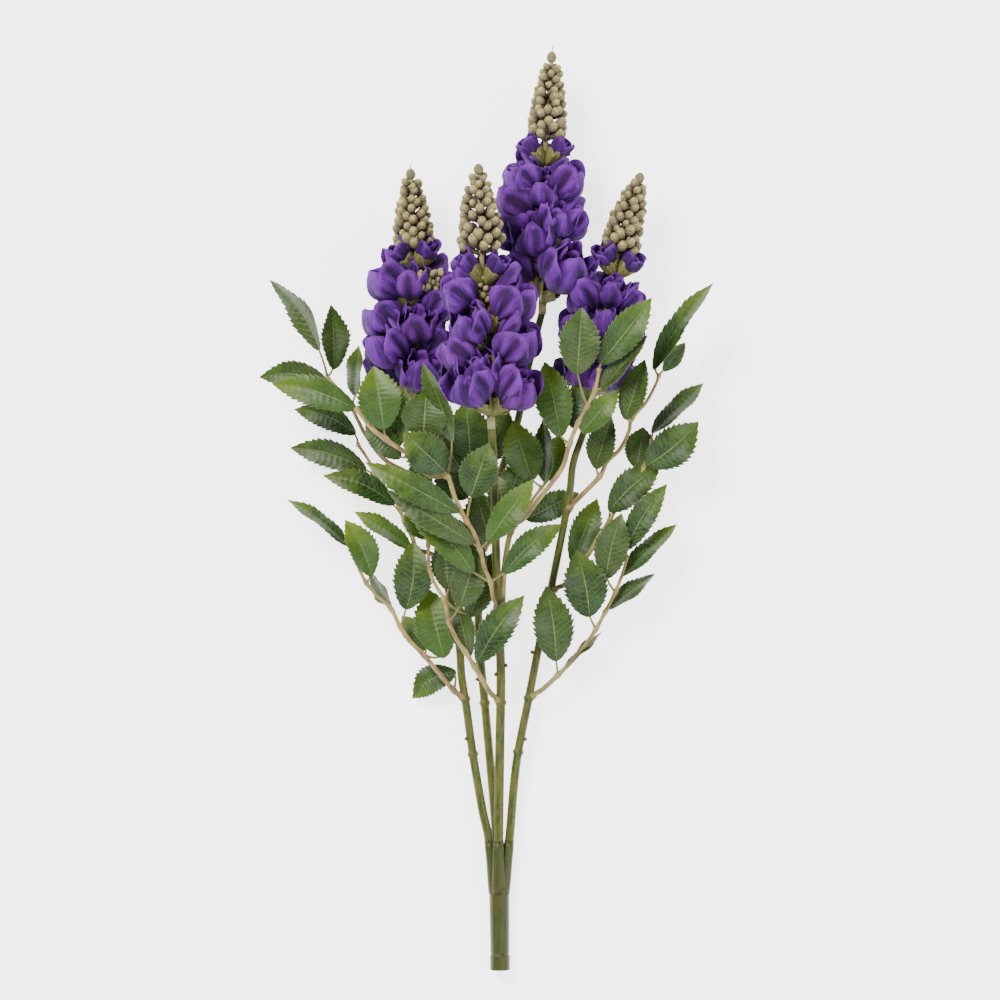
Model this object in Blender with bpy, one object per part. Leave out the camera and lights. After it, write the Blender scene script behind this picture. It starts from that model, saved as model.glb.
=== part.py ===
"""Artificial snapdragon spray, lying on a flat surface.

Four flower heads stand on four plastic stems, which come out of one moulded sleeve at the foot.
Leafy twigs are pushed onto pegs along the stems. Metres, +Z up: the spray lies along +Y, its foot
towards -Y, and the surface it lies on is at z = 0.
"""
import math
import random

import bmesh
import bpy
from mathutils import Vector

# Clear space between two pieces that meet.
GAP = 0.0003
# Below this length of its level part a direction counts as upright.
UPRIGHT = 0.05
# Faces that meet at a greater angle have a sharp edge between them.
SHARP_ANGLE = 40.0

# The sleeve: where it ends, its radii from the foot up, and its facets.
SLEEVE_FOOT_Y = -0.3120
SLEEVE_TOP_Y = -0.2575
SLEEVE_FOOT_X = 0.0095
SLEEVE_TOP_X = 0.0089
SLEEVE_FOOT_RADIUS = 0.0056
SLEEVE_TOP_RADIUS = 0.0063
SLEEVE_BAND = 0.0004
SLEEVE_FOOT_BAND = 0.0110
SLEEVE_TOP_BAND = 0.0040
SLEEVE_CHAMFER = 0.0006
SLEEVE_SIDES = 12
# The arms of the sleeve end here, and the stems begin.
ARM_END_Y = -0.2260
ARM_RADIUS = 0.0029
ARM_ROOT_DEPTH = 0.0060
ARM_ROOT_SPREAD = 0.30

STEM_SIDES = 8
STEM_FOOT_RADIUS = 0.0031
STEM_HEAD_RADIUS = 0.0024
# Rings stand round a stem where a twig or a peg grows.
RING_HEIGHT = 0.0008
RING_HALF_LENGTH = 0.0016
# A point of a stem's axis that is nearer to a ring than this many half lengths is left out.
RING_CLEARANCE = 1.5
PEG_RADIUS = 0.0012
PEG_LENGTH = 0.0035
PEG_SIDES = 4

# Each stem: the head that it carries, its axis from the sleeve up to that head's foot, the places
# along Y of its rings besides those where twigs grow, and its pegs, each a place along Y with the
# direction that the peg points in.
STEMS = {
    "left": {
        "head": "left",
        "route": [
            (0.0019, ARM_END_Y, 0.0090),
            (0.0005, -0.2050, 0.0100),
            (-0.0088, -0.1675, 0.0120),
            (-0.0131, -0.1353, 0.0140),
            (-0.0165, -0.1144, 0.0155),
            (-0.0188, -0.0900, 0.0175),
            (-0.0297, -0.0350, 0.0225),
            (-0.0382, 0.0150, 0.0275),
            (-0.0415, 0.0400, 0.0300),
        ],
        "rings": [-0.1675],
        "pegs": [(-0.1590, (-0.8, 0.5, 0.3)), (-0.0700, (0.9, 0.4, 0.2))],
    },
    "back": {
        "head": "tall",
        "route": [
            (0.0070, ARM_END_Y, 0.0040),
            (0.0050, -0.1990, 0.0045),
            (0.0000, -0.1454, 0.0060),
            (-0.0050, -0.0850, 0.0085),
            (-0.0040, -0.0500, 0.0105),
            (-0.0007, -0.0084, 0.0140),
            (0.0200, 0.0530, 0.0215),
            (0.0270, 0.0880, 0.0265),
        ],
        "rings": [-0.1330],
        "pegs": [(-0.1180, (-0.9, 0.3, 0.3))],
    },
    "centre": {
        "head": "centre",
        "route": [
            (0.0083, ARM_END_Y, 0.0130),
            (0.0088, -0.1600, 0.0190),
            (0.0093, -0.1090, 0.0290),
            (0.0078, -0.0600, 0.0430),
            (0.0068, -0.0300, 0.0510),
            (0.0052, 0.0300, 0.0665),
        ],
        "rings": [],
        "pegs": [(-0.1140, (-0.9, 0.3, 0.4)), (-0.1080, (0.9, 0.3, 0.3))],
    },
    "right": {
        "head": "right",
        "route": [
            (0.0158, ARM_END_Y, 0.0090),
            (0.0200, -0.1920, 0.0105),
            (0.0225, -0.1660, 0.0120),
            (0.0280, -0.1295, 0.0140),
            (0.0351, -0.0921, 0.0165),
            (0.0432, -0.0489, 0.0195),
            (0.0533, 0.0051, 0.0245),
            (0.0590, 0.0300, 0.0280),
            (0.0660, 0.0510, 0.0305),
        ],
        "rings": [-0.1660],
        "pegs": [(-0.1590, (0.9, 0.4, 0.2)), (-0.1000, (-0.9, 0.5, 0.2))],
    },
}

# Each flower head: where its spike begins and ends, its florets, its opening buds, and where its
# tip of round buds ends with the width of the tip's foot. A floret or an opening bud has its place
# along the spike, its azimuth in degrees from the side that faces up, and its length.
HEADS = {
    "left": {
        "foot": (-0.0480, 0.0665, 0.0319), "top": (-0.0475, 0.1760, 0.0319),
        "tip": (-0.0512, 0.2290, 0.0310), "tip_width": 0.0330, "seed": 11,
        "florets": [
            (0.0040, 12, 0.038), (0.0090, -118, 0.036), (0.0120, 122, 0.036),
            (0.0220, -42, 0.040), (0.0300, 84, 0.034), (0.0370, 6, 0.036),
            (0.0420, -95, 0.037), (0.0440, 178, 0.035), (0.0600, 80, 0.031),
            (0.0670, -12, 0.033), (0.0700, -80, 0.033), (0.0680, 152, 0.031),
        ],
        "opening": [(0.0880, -62, 0.021), (0.0880, 62, 0.022), (0.0860, 178, 0.020)],
    },
    "tall": {
        "foot": (0.0380, 0.1325, 0.0316), "top": (0.0415, 0.2440, 0.0316),
        "tip": (0.0450, 0.3080, 0.0310), "tip_width": 0.0280, "seed": 12,
        "florets": [
            (0.0090, 36, 0.041), (0.0110, -92, 0.036), (0.0130, 160, 0.036),
            (0.0290, -18, 0.040), (0.0330, -140, 0.035), (0.0450, 36, 0.034),
            (0.0460, 98, 0.033), (0.0520, 172, 0.034), (0.0570, -74, 0.034),
            (0.0640, -8, 0.030), (0.0730, 30, 0.031), (0.0710, -54, 0.029),
            (0.0740, 140, 0.030),
        ],
        "opening": [(0.0935, -70, 0.022), (0.0935, 72, 0.022), (0.0920, 180, 0.020)],
    },
    "centre": {
        "foot": (0.0036, 0.0545, 0.0780), "top": (-0.0030, 0.1740, 0.0830),
        "tip": (-0.0053, 0.2310, 0.0850), "tip_width": 0.0310, "seed": 13,
        "florets": [
            (0.0075, -38, 0.042), (0.0075, 58, 0.043), (0.0090, 172, 0.037),
            (0.0170, 5, 0.035), (0.0330, -88, 0.039), (0.0370, 52, 0.042),
            (0.0360, 136, 0.038), (0.0420, -146, 0.036), (0.0510, -22, 0.036),
            (0.0650, 40, 0.037), (0.0750, -54, 0.036), (0.0710, 168, 0.034),
        ],
        "opening": [(0.0950, -58, 0.024), (0.0960, 62, 0.021), (0.0940, 178, 0.020)],
    },
    "right": {
        "foot": (0.0720, 0.0670, 0.0328), "top": (0.0925, 0.1720, 0.0328),
        "tip": (0.1048, 0.2262, 0.0310), "tip_width": 0.0290, "seed": 14,
        "florets": [
            (0.0050, -28, 0.037), (0.0080, 168, 0.035), (0.0100, -108, 0.034),
            (0.0120, 60, 0.037), (0.0340, 165, 0.034), (0.0360, -86, 0.033),
            (0.0380, 86, 0.035), (0.0400, -6, 0.034), (0.0580, -64, 0.031),
            (0.0620, 6, 0.031), (0.0640, 76, 0.034), (0.0640, -158, 0.031),
        ],
        "opening": [(0.0860, -32, 0.022), (0.0850, 70, 0.021), (0.0850, 178, 0.020)],
    },
}
SPIKE_SIDES = 7
SPIKE_FOOT_RADIUS = 0.0026
SPIKE_TOP_RADIUS = 0.0018
# A floret's mouth as a share of its length, and how it leans from the spike at the foot of the
# head, with how much less it leans for each metre up the spike.
FLORET_MOUTH = 0.43
FLORET_LEAN = 45.0
LEAN_LOSS = 110.0
FLORET_SIDES = 6
# Profile of a floret from its root to its rim: how far along it is and how wide, as shares of its
# length and of its mouth. The throat comes down from the rim to a point.
FLORET_PROFILE = [(0.0, 0.22), (0.45, 0.93), (0.92, 0.98)]
FLORET_RIM = 2
FLORET_THROAT = 0.45
# The rim of a floret as shares of its length and width: how far its hood stands above its lip,
# how far both stand above its sides, how far its lip turns outwards, and the random spread.
HOOD_RISE = 0.06
LIPS_RISE = 0.06
LIP_FLARE = 0.04
RIM_DRAW = 0.035
# The opening buds: their mouth as a share of their length, and their lean.
OPENING_MOUTH = 0.31
OPENING_LEAN = 50.0
OPENING_SIDES = 5

# The tip of round buds: their radii at its foot and its end, the step from one tier to the next,
# and how many stand in the first and the last tier.
BALL_RADIUS_FOOT = 0.0040
BALL_RADIUS_TIP = 0.0029
TIER_STEP = 0.0092
BALLS_FIRST_TIER = 6
BALLS_LAST_TIER = 3
# The first and the last tier, as shares of the tip's length.
FIRST_TIER = 0.07
LAST_TIER = 0.90
# How far a bud is off its even place round the core, in radians.
BALL_TURN_DRAW = 0.1
# The core: its stations as shares of the tip's length, how far the buds' centres stand out of it,
# how far they are from its axis at the very end, and the power by which it gets narrower.
CORE_STATIONS = [0.0, 0.05, 0.35, 0.65, 0.95]
BALL_STANDS_OUT = 0.0022
TIP_END_SPREAD = 0.0014
TIP_TAPER = 0.8
TIP_SIDES = 6

# Twigs are round bars that start with a short collar, and leaf stalks are thin square bars.
TWIG_SIDES = 5
TWIG_COLLAR = 0.0015
TWIG_ROOT_RADIUS = 0.0019
TWIG_END_RADIUS = 0.0011
STALK_RADIUS = 0.0008

BLADE_THICKNESS = 0.0014
BLADE_TEETH = 4
# How wide a leaf is along its length: the powers of its rounded outline.
BLADE_WIDEST = 0.82
BLADE_FULLNESS = 0.85
# Points of the midrib along the blade.
RIB_STATIONS = [0.14, 0.48, 0.78]
# The first and the last tooth, and from each tooth the step to its notch, along the blade, with
# how far teeth and notches reach as shares of the outline.
FIRST_TOOTH = 0.20
LAST_TOOTH = 0.82
NOTCH_STEP = 0.03
TOOTH_DEPTH = 1.08
NOTCH_DEPTH = 0.88
# How far the edges rise for each length outwards, and how far the midrib arches, as a share of the
# blade's length.
BLADE_FOLD = 0.16
BLADE_ARCH = 0.07

# Each leafy twig: the stem it is on and the place along Y, the axis of the twig from the stem
# outwards, and its leaves. A leaf has the point of the axis that its stalk springs from, where
# its blade begins, where it ends, its width, and its roll about its midrib in degrees.
TWIGS = {
    "left_low": {
        "stem": "left", "at": -0.1300,
        "route": [
            (-0.0220, -0.1240, 0.0170), (-0.0330, -0.1110, 0.0210), (-0.0420, -0.1000, 0.0240),
            (-0.0500, -0.0920, 0.0260), (-0.0580, -0.0810, 0.0270), (-0.0640, -0.0690, 0.0280),
            (-0.0750, -0.0580, 0.0280), (-0.0810, -0.0510, 0.0280), (-0.0880, -0.0370, 0.0280),
            (-0.0920, -0.0280, 0.0280),
        ],
        "leaves": [
            (0, (-0.0205, -0.1115, 0.0110), (-0.0480, -0.1290, 0.0080), 0.0200, -15),
            (2, (-0.0335, -0.0985, 0.0240), (-0.0380, -0.0570, 0.0190), 0.0250, 0),
            (2, (-0.0400, -0.0965, 0.0190), (-0.0570, -0.0735, 0.0100), 0.0150, 25),
            (4, (-0.0560, -0.0690, 0.0290), (-0.0505, -0.0225, 0.0330), 0.0250, 0),
            (5, (-0.0640, -0.0660, 0.0200), (-0.0780, -0.0450, 0.0150), 0.0180, 60),
            (7, (-0.0790, -0.0460, 0.0300), (-0.0960, -0.0085, 0.0360), 0.0190, -20),
            (9, (-0.0935, -0.0265, 0.0280), (-0.1345, 0.0050, 0.0200), 0.0200, -52),
        ],
    },
    "left_mid": {
        "stem": "centre", "at": -0.1320,
        "route": [
            (0.0020, -0.1240, 0.0300), (-0.0080, -0.1070, 0.0380), (-0.0140, -0.0970, 0.0400),
            (-0.0190, -0.0900, 0.0410), (-0.0250, -0.0770, 0.0420), (-0.0280, -0.0620, 0.0430),
            (-0.0330, -0.0540, 0.0440), (-0.0380, -0.0420, 0.0440), (-0.0390, -0.0250, 0.0450),
            (-0.0400, -0.0150, 0.0460),
        ],
        "leaves": [
            (1, (-0.0060, -0.1045, 0.0420), (0.0270, -0.0580, 0.0500), 0.0215, 0),
            (4, (-0.0175, -0.0670, 0.0440), (-0.0065, -0.0310, 0.0500), 0.0220, 0),
            (9, (-0.0410, -0.0100, 0.0460), (-0.0500, 0.0300, 0.0410), 0.0200, 10),
        ],
    },
    "front": {
        "stem": "centre", "at": -0.0690,
        "route": [
            (0.0045, -0.0600, 0.0520), (0.0030, -0.0500, 0.0580), (-0.0010, -0.0400, 0.0610),
            (-0.0040, -0.0280, 0.0630), (-0.0090, -0.0150, 0.0650), (-0.0130, -0.0090, 0.0660),
            (-0.0200, 0.0050, 0.0680), (-0.0230, 0.0140, 0.0690), (-0.0260, 0.0210, 0.0700),
            (-0.0370, 0.0210, 0.0705), (-0.0450, 0.0280, 0.0710), (-0.0500, 0.0340, 0.0720),
            (-0.0600, 0.0410, 0.0730), (-0.0670, 0.0460, 0.0740), (-0.0760, 0.0530, 0.0740),
            (-0.0870, 0.0670, 0.0720),
        ],
        "leaves": [
            (1, (0.0120, -0.0460, 0.0640), (0.0510, -0.0130, 0.0620), 0.0180, 0),
            (1, (-0.0080, -0.0445, 0.0570), (-0.0550, -0.0030, 0.0550), 0.0220, 0),
            (3, (0.0010, -0.0230, 0.0660), (0.0310, 0.0185, 0.0700), 0.0170, 0),
            (3, (-0.0080, -0.0240, 0.0660), (-0.0660, 0.0115, 0.0680), 0.0180, 0),
            (5, (-0.0180, -0.0030, 0.0700), (-0.0800, 0.0300, 0.0760), 0.0180, 0),
            (5, (-0.0100, 0.0070, 0.0720), (0.0020, 0.0430, 0.0810), 0.0250, 0),
            (8, (-0.0270, 0.0240, 0.0740), (-0.0550, 0.0500, 0.0800), 0.0260, 0),
            (8, (-0.0240, 0.0460, 0.0710), (-0.0430, 0.0970, 0.0810), 0.0190, 62),
            (11, (-0.0420, 0.0460, 0.0720), (-0.0390, 0.0780, 0.0740), 0.0260, 0),
            (13, (-0.0680, 0.0520, 0.0760), (-0.0760, 0.0940, 0.0760), 0.0270, 0),
            (15, (-0.0890, 0.0670, 0.0720), (-0.1430, 0.0820, 0.0600), 0.0190, 0),
        ],
    },
    "left_high": {
        "stem": "left", "at": 0.0120,
        "route": [
            (-0.0500, 0.0220, 0.0300), (-0.0680, 0.0320, 0.0340), (-0.0800, 0.0470, 0.0380),
            (-0.0860, 0.0580, 0.0400), (-0.0910, 0.0680, 0.0410), (-0.0980, 0.0780, 0.0420),
            (-0.1070, 0.0880, 0.0420),
        ],
        "leaves": [
            (4, (-0.0895, 0.0780, 0.0430), (-0.0915, 0.1080, 0.0440), 0.0180, 72),
            (5, (-0.1050, 0.0820, 0.0420), (-0.1530, 0.0880, 0.0340), 0.0180, 0),
            (6, (-0.1040, 0.0930, 0.0420), (-0.1050, 0.1365, 0.0440), 0.0220, -38),
            (6, (-0.1140, 0.1060, 0.0420), (-0.1458, 0.1536, 0.0360), 0.0220, 50),
        ],
    },
    "left_thin": {
        "stem": "left", "at": -0.0360,
        "route": [
            (-0.0380, -0.0310, 0.0210), (-0.0470, -0.0280, 0.0200), (-0.0500, -0.0200, 0.0200),
            (-0.0550, -0.0100, 0.0200), (-0.0600, 0.0020, 0.0205), (-0.0700, 0.0150, 0.0215),
            (-0.0750, 0.0220, 0.0220), (-0.0790, 0.0310, 0.0230), (-0.0870, 0.0430, 0.0240),
        ],
        "leaves": [
            (1, (-0.0510, -0.0280, 0.0180), (-0.0895, -0.0030, 0.0140), 0.0180, -42),
            (3, (-0.0630, -0.0010, 0.0220), (-0.1100, 0.0205, 0.0260), 0.0190, -15),
            (6, (-0.0810, 0.0240, 0.0220), (-0.1330, 0.0400, 0.0160), 0.0180, 0),
            (8, (-0.0880, 0.0480, 0.0240), (-0.1300, 0.0650, 0.0160), 0.0190, 0),
        ],
    },
    "right_high": {
        "stem": "centre", "at": -0.0890,
        "route": [
            (0.0140, -0.0750, 0.0380), (0.0150, -0.0450, 0.0440), (0.0180, -0.0160, 0.0500),
            (0.0257, -0.0069, 0.0530), (0.0344, 0.0044, 0.0560), (0.0444, 0.0168, 0.0580),
            (0.0519, 0.0280, 0.0600), (0.0562, 0.0430, 0.0620), (0.0618, 0.0568, 0.0640),
            (0.0680, 0.0680, 0.0670), (0.0730, 0.0790, 0.0690), (0.0760, 0.0930, 0.0710),
        ],
        "leaves": [
            (7, (0.0500, 0.0490, 0.0590), (0.0400, 0.0990, 0.0490), 0.0225, 0),
            (8, (0.0640, 0.0500, 0.0600), (0.0890, 0.0790, 0.0670), 0.0160, 0),
            (9, (0.0610, 0.0900, 0.0710), (0.0640, 0.1335, 0.0780), 0.0250, 0),
            (10, (0.0770, 0.0790, 0.0710), (0.1080, 0.1150, 0.0700), 0.0180, 52),
            (11, (0.0765, 0.0960, 0.0720), (0.1106, 0.1400, 0.0730), 0.0210, 0),
        ],
    },
    "right_mid": {
        "stem": "right", "at": -0.0020,
        "route": [
            (0.0630, 0.0068, 0.0280), (0.0756, 0.0218, 0.0330), (0.0806, 0.0318, 0.0350),
            (0.0893, 0.0405, 0.0390), (0.0950, 0.0520, 0.0430), (0.0968, 0.0605, 0.0450),
            (0.1068, 0.0717, 0.0470), (0.1143, 0.0830, 0.0470), (0.1165, 0.0890, 0.0460),
        ],
        "leaves": [
            (1, (0.0760, 0.0280, 0.0360), (0.0880, 0.0630, 0.0440), 0.0190, 30),
            (5, (0.0975, 0.0660, 0.0590), (0.1090, 0.1000, 0.0650), 0.0170, 25),
            (8, (0.1140, 0.0920, 0.0450), (0.1530, 0.1510, 0.0400), 0.0210, 52),
            (8, (0.1200, 0.0910, 0.0460), (0.1340, 0.1070, 0.0440), 0.0110, -20),
        ],
    },
    "right_low": {
        "stem": "right", "at": -0.1295,
        "route": [
            (0.0385, -0.1217, 0.0170), (0.0476, -0.1127, 0.0200), (0.0566, -0.1036, 0.0210),
            (0.0657, -0.0933, 0.0220), (0.0734, -0.0817, 0.0240), (0.0799, -0.0700, 0.0250),
            (0.0876, -0.0570, 0.0270), (0.0928, -0.0430, 0.0290), (0.0954, -0.0330, 0.0300),
        ],
        "leaves": [
            (1, (0.0465, -0.1040, 0.0260), (0.0400, -0.0530, 0.0330), 0.0260, 0),
            (1, (0.0520, -0.1070, 0.0170), (0.0780, -0.0840, 0.0170), 0.0150, 62),
            (4, (0.0700, -0.0740, 0.0280), (0.0605, -0.0290, 0.0360), 0.0270, 0),
            (5, (0.0840, -0.0700, 0.0230), (0.1145, -0.0455, 0.0190), 0.0160, 50),
            (6, (0.0840, -0.0480, 0.0310), (0.0950, -0.0040, 0.0380), 0.0210, 0),
            (6, (0.0930, -0.0480, 0.0270), (0.1290, -0.0120, 0.0230), 0.0180, 48),
            (8, (0.0958, -0.0300, 0.0310), (0.1220, 0.0140, 0.0340), 0.0170, 0),
        ],
    },
    "right_thin": {
        "stem": "right", "at": -0.0570,
        "route": [
            (0.0547, -0.0510, 0.0200), (0.0620, -0.0400, 0.0210), (0.0700, -0.0310, 0.0220),
            (0.0760, -0.0200, 0.0230), (0.0840, -0.0080, 0.0240), (0.0930, 0.0080, 0.0260),
            (0.1070, 0.0280, 0.0290), (0.1120, 0.0460, 0.0320),
        ],
        "leaves": [
            (1, (0.0630, -0.0340, 0.0180), (0.0790, 0.0070, 0.0100), 0.0200, 0),
            (4, (0.0840, -0.0030, 0.0270), (0.1200, 0.0270, 0.0270), 0.0190, 0),
            (6, (0.1080, 0.0290, 0.0320), (0.1430, 0.0580, 0.0380), 0.0240, 0),
            (6, (0.1050, 0.0310, 0.0270), (0.1100, 0.0580, 0.0220), 0.0170, 15),
            (7, (0.1130, 0.0500, 0.0330), (0.1470, 0.0840, 0.0300), 0.0190, 52),
        ],
    },
    "back_right": {
        "stem": "back", "at": -0.0300,
        "route": [
            (0.0060, -0.0200, 0.0140), (0.0160, -0.0110, 0.0150), (0.0240, -0.0050, 0.0160),
            (0.0320, 0.0060, 0.0180), (0.0380, 0.0140, 0.0200),
        ],
        "leaves": [
            (0, (0.0020, -0.0230, 0.0150), (-0.0080, 0.0060, 0.0230), 0.0170, 0),
            (2, (0.0280, -0.0060, 0.0150), (0.0630, 0.0105, 0.0120), 0.0150, 0),
            (4, (0.0310, 0.0180, 0.0230), (0.0180, 0.0590, 0.0300), 0.0250, 0),
            (4, (0.0400, 0.0170, 0.0220), (0.0365, 0.0560, 0.0240), 0.0160, 62),
            (4, (0.0430, 0.0160, 0.0190), (0.0510, 0.0450, 0.0140), 0.0160, 0),
        ],
    },
    "back_left": {
        "stem": "back", "at": -0.0050,
        "route": [
            (-0.0080, 0.0050, 0.0160), (-0.0100, 0.0160, 0.0200), (-0.0110, 0.0280, 0.0240),
        ],
        "leaves": [
            (1, (-0.0160, 0.0240, 0.0210), (-0.0350, 0.0570, 0.0230), 0.0200, 0),
            (2, (-0.0105, 0.0320, 0.0250), (-0.0120, 0.0680, 0.0300), 0.0250, 0),
        ],
    },
}

# Finishes: base colour, roughness, metallic.
SLEEVE_FINISH = ((0.14, 0.17, 0.05), 0.50, 0.0)
STEM_FINISH = ((0.16, 0.19, 0.06), 0.50, 0.0)
HEAD_FINISH = ((0.13, 0.05, 0.38), 0.75, 0.0)
TIP_FINISH = ((0.42, 0.37, 0.20), 0.60, 0.0)
TWIG_FINISH = ((0.08, 0.20, 0.04), 0.60, 0.0)


def clear_scene():
    """Remove what a new file holds."""
    for thing in list(bpy.data.objects):
        bpy.data.objects.remove(thing, do_unlink=True)


def finish(name, values):
    """A plain material of one colour for one sub-part."""
    colour, roughness, metallic = values
    material = bpy.data.materials.new(name)
    material.use_nodes = True
    shader = material.node_tree.nodes["Principled BSDF"]
    shader.inputs["Base Color"].default_value = (*colour, 1.0)
    shader.inputs["Roughness"].default_value = roughness
    shader.inputs["Metallic"].default_value = metallic
    return material


def across(along):
    """Two unit vectors across a direction: one level and to its right, one upwards."""
    along = along.normalized()
    level = along.cross(Vector((0.0, 0.0, 1.0)))
    if level.length < UPRIGHT:
        level = along.cross(Vector((0.0, 1.0, 0.0)))
    level.normalize()
    return level, level.cross(along)


def tangents(points):
    """The direction of a path at each of its points."""
    last = len(points) - 1
    return [
        (points[min(i + 1, last)] - points[max(i - 1, 0)]).normalized() for i in range(last + 1)
    ]


def ring(centre, along, radius, sides):
    """Points of a regular polygon round a path, with a flat side below."""
    level, up = across(along)
    turn = [2.0 * math.pi * (k + 0.5) / sides - 0.5 * math.pi for k in range(sides)]
    return [centre + radius * (math.cos(a) * level + math.sin(a) * up) for a in turn]


def skin(rings, pole=None):
    """A closed solid through rings of points, with a flat first end.

    The last end is flat too, or closes in the pole where one is given.
    """
    solid = bmesh.new()
    loops = [[solid.verts.new(p) for p in points] for points in rings]
    sides = len(loops[0])
    for lower, upper in zip(loops, loops[1:]):
        for k in range(sides):
            n = (k + 1) % sides
            solid.faces.new((lower[k], lower[n], upper[n], upper[k]))
    solid.faces.new(loops[0][::-1])
    if pole is None:
        solid.faces.new(loops[-1])
    else:
        top = solid.verts.new(pole)
        for k in range(sides):
            solid.faces.new((loops[-1][k], loops[-1][(k + 1) % sides], top))
    bmesh.ops.recalc_face_normals(solid, faces=solid.faces)
    return solid


def tube(points, radii, sides, first=None, last=None):
    """A round bar along a path with a radius at each point.

    Its ends face along the path, or along the directions given.
    """
    points = [Vector(p) for p in points]
    directions = tangents(points)
    directions[0] = first or directions[0]
    directions[-1] = last or directions[-1]
    return skin([ring(p, d, r, sides) for p, d, r in zip(points, directions, radii)])


def island_volume(faces):
    """Six times the signed volume inside a set of triangles."""
    return sum(f.verts[0].co.dot(f.verts[1].co.cross(f.verts[2].co)) for f in faces)


def keep_largest(mesh):
    """Leave only the outer skin of a union: sealed hollows are filled and loose scraps dropped."""
    solid = bmesh.new()
    solid.from_mesh(mesh)
    bmesh.ops.triangulate(solid, faces=solid.faces)
    left = set(solid.faces)
    islands = []
    while left:
        front = [left.pop()]
        island = list(front)
        while front:
            face = front.pop()
            for edge in face.edges:
                for other in edge.link_faces:
                    if other in left:
                        left.remove(other)
                        front.append(other)
                        island.append(other)
        islands.append(island)
    islands.sort(key=island_volume)
    for island in islands[:-1]:
        bmesh.ops.delete(solid, geom=island, context="FACES")
    solid.to_mesh(mesh)
    solid.free()


def fuse(name, solids, values):
    """Join closed solids in one object by one union."""
    objects = []
    for k, solid in enumerate(solids):
        bmesh.ops.triangulate(solid, faces=solid.faces)
        mesh = bpy.data.meshes.new(f"{name}_{k}")
        solid.to_mesh(mesh)
        solid.free()
        objects.append(bpy.data.objects.new(f"{name}_{k}", mesh))
    first, rest = objects[0], objects[1:]
    bpy.context.scene.collection.objects.link(first)
    group = bpy.data.collections.new(f"{name}_repeats")
    bpy.context.scene.collection.children.link(group)
    for thing in rest:
        group.objects.link(thing)
    union = first.modifiers.new("union", "BOOLEAN")
    union.operation = "UNION"
    union.operand_type = "COLLECTION"
    union.collection = group
    union.solver = "MANIFOLD"
    whole = first.evaluated_get(bpy.context.evaluated_depsgraph_get())
    joined = bpy.data.meshes.new_from_object(whole)
    first.modifiers.clear()
    first.data = joined
    for thing in rest:
        bpy.data.objects.remove(thing, do_unlink=True)
    bpy.data.collections.remove(group)
    keep_largest(joined)
    first.name = name
    joined.name = name
    joined.materials.clear()
    joined.materials.append(finish(name, values))
    joined.shade_smooth()
    joined.set_sharp_from_angle(angle=math.radians(SHARP_ANGLE))


def head_direction(head):
    """The direction of a head's spike."""
    return (Vector(head["top"]) - Vector(head["foot"])).normalized()


def stem_axis(name):
    """The axis of a stem, from its arm of the sleeve to the foot of its head."""
    stem = STEMS[name]
    head = HEADS[stem["head"]]
    foot = Vector(stem["route"][0]) + Vector((0.0, GAP, 0.0))
    end = Vector(head["foot"]) - GAP * head_direction(head)
    return [foot] + [Vector(p) for p in stem["route"][1:]] + [end]


def point_at(axis, y):
    """The point of a stem's axis at a place along Y, and the direction there."""
    for a, b in zip(axis, axis[1:]):
        if a.y <= y <= b.y:
            return a.lerp(b, (y - a.y) / (b.y - a.y)), (b - a).normalized()
    raise ValueError("no stem at this place")


def stem_radius(axis, y):
    """A stem gets evenly thinner from its foot to its head."""
    share = (y - axis[0].y) / (axis[-1].y - axis[0].y)
    return STEM_FOOT_RADIUS + share * (STEM_HEAD_RADIUS - STEM_FOOT_RADIUS)


def make_sleeve():
    """The moulded sleeve, flat below where it lies, with an arm to each stem."""
    foot_band = SLEEVE_FOOT_Y + SLEEVE_FOOT_BAND
    top_band = SLEEVE_TOP_Y - SLEEVE_TOP_BAND
    stops = [
        (SLEEVE_FOOT_Y, SLEEVE_BAND), (foot_band, SLEEVE_BAND), (foot_band + SLEEVE_CHAMFER, 0.0),
        (top_band - SLEEVE_CHAMFER, 0.0), (top_band, SLEEVE_BAND), (SLEEVE_TOP_Y, SLEEVE_BAND),
    ]
    forward = Vector((0.0, 1.0, 0.0))
    rings = []
    for y, band in stops:
        share = (y - SLEEVE_FOOT_Y) / (SLEEVE_TOP_Y - SLEEVE_FOOT_Y)
        radius = SLEEVE_FOOT_RADIUS + share * (SLEEVE_TOP_RADIUS - SLEEVE_FOOT_RADIUS) + band
        x = SLEEVE_FOOT_X + share * (SLEEVE_TOP_X - SLEEVE_FOOT_X)
        lies_at = radius * math.cos(math.pi / SLEEVE_SIDES)
        rings.append(ring(Vector((x, y, lies_at)), forward, radius, SLEEVE_SIDES))
    solids = [skin(rings)]
    heart = Vector((SLEEVE_TOP_X, SLEEVE_TOP_Y - ARM_ROOT_DEPTH, SLEEVE_TOP_RADIUS))
    for stem in STEMS.values():
        end = Vector(stem["route"][0])
        root = heart + ARM_ROOT_SPREAD * Vector((end.x - heart.x, 0.0, end.z - heart.z))
        solids.append(tube([root, end], [ARM_RADIUS, ARM_RADIUS], STEM_SIDES, last=forward))
    fuse("stem_sleeve", solids, SLEEVE_FINISH)


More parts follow.
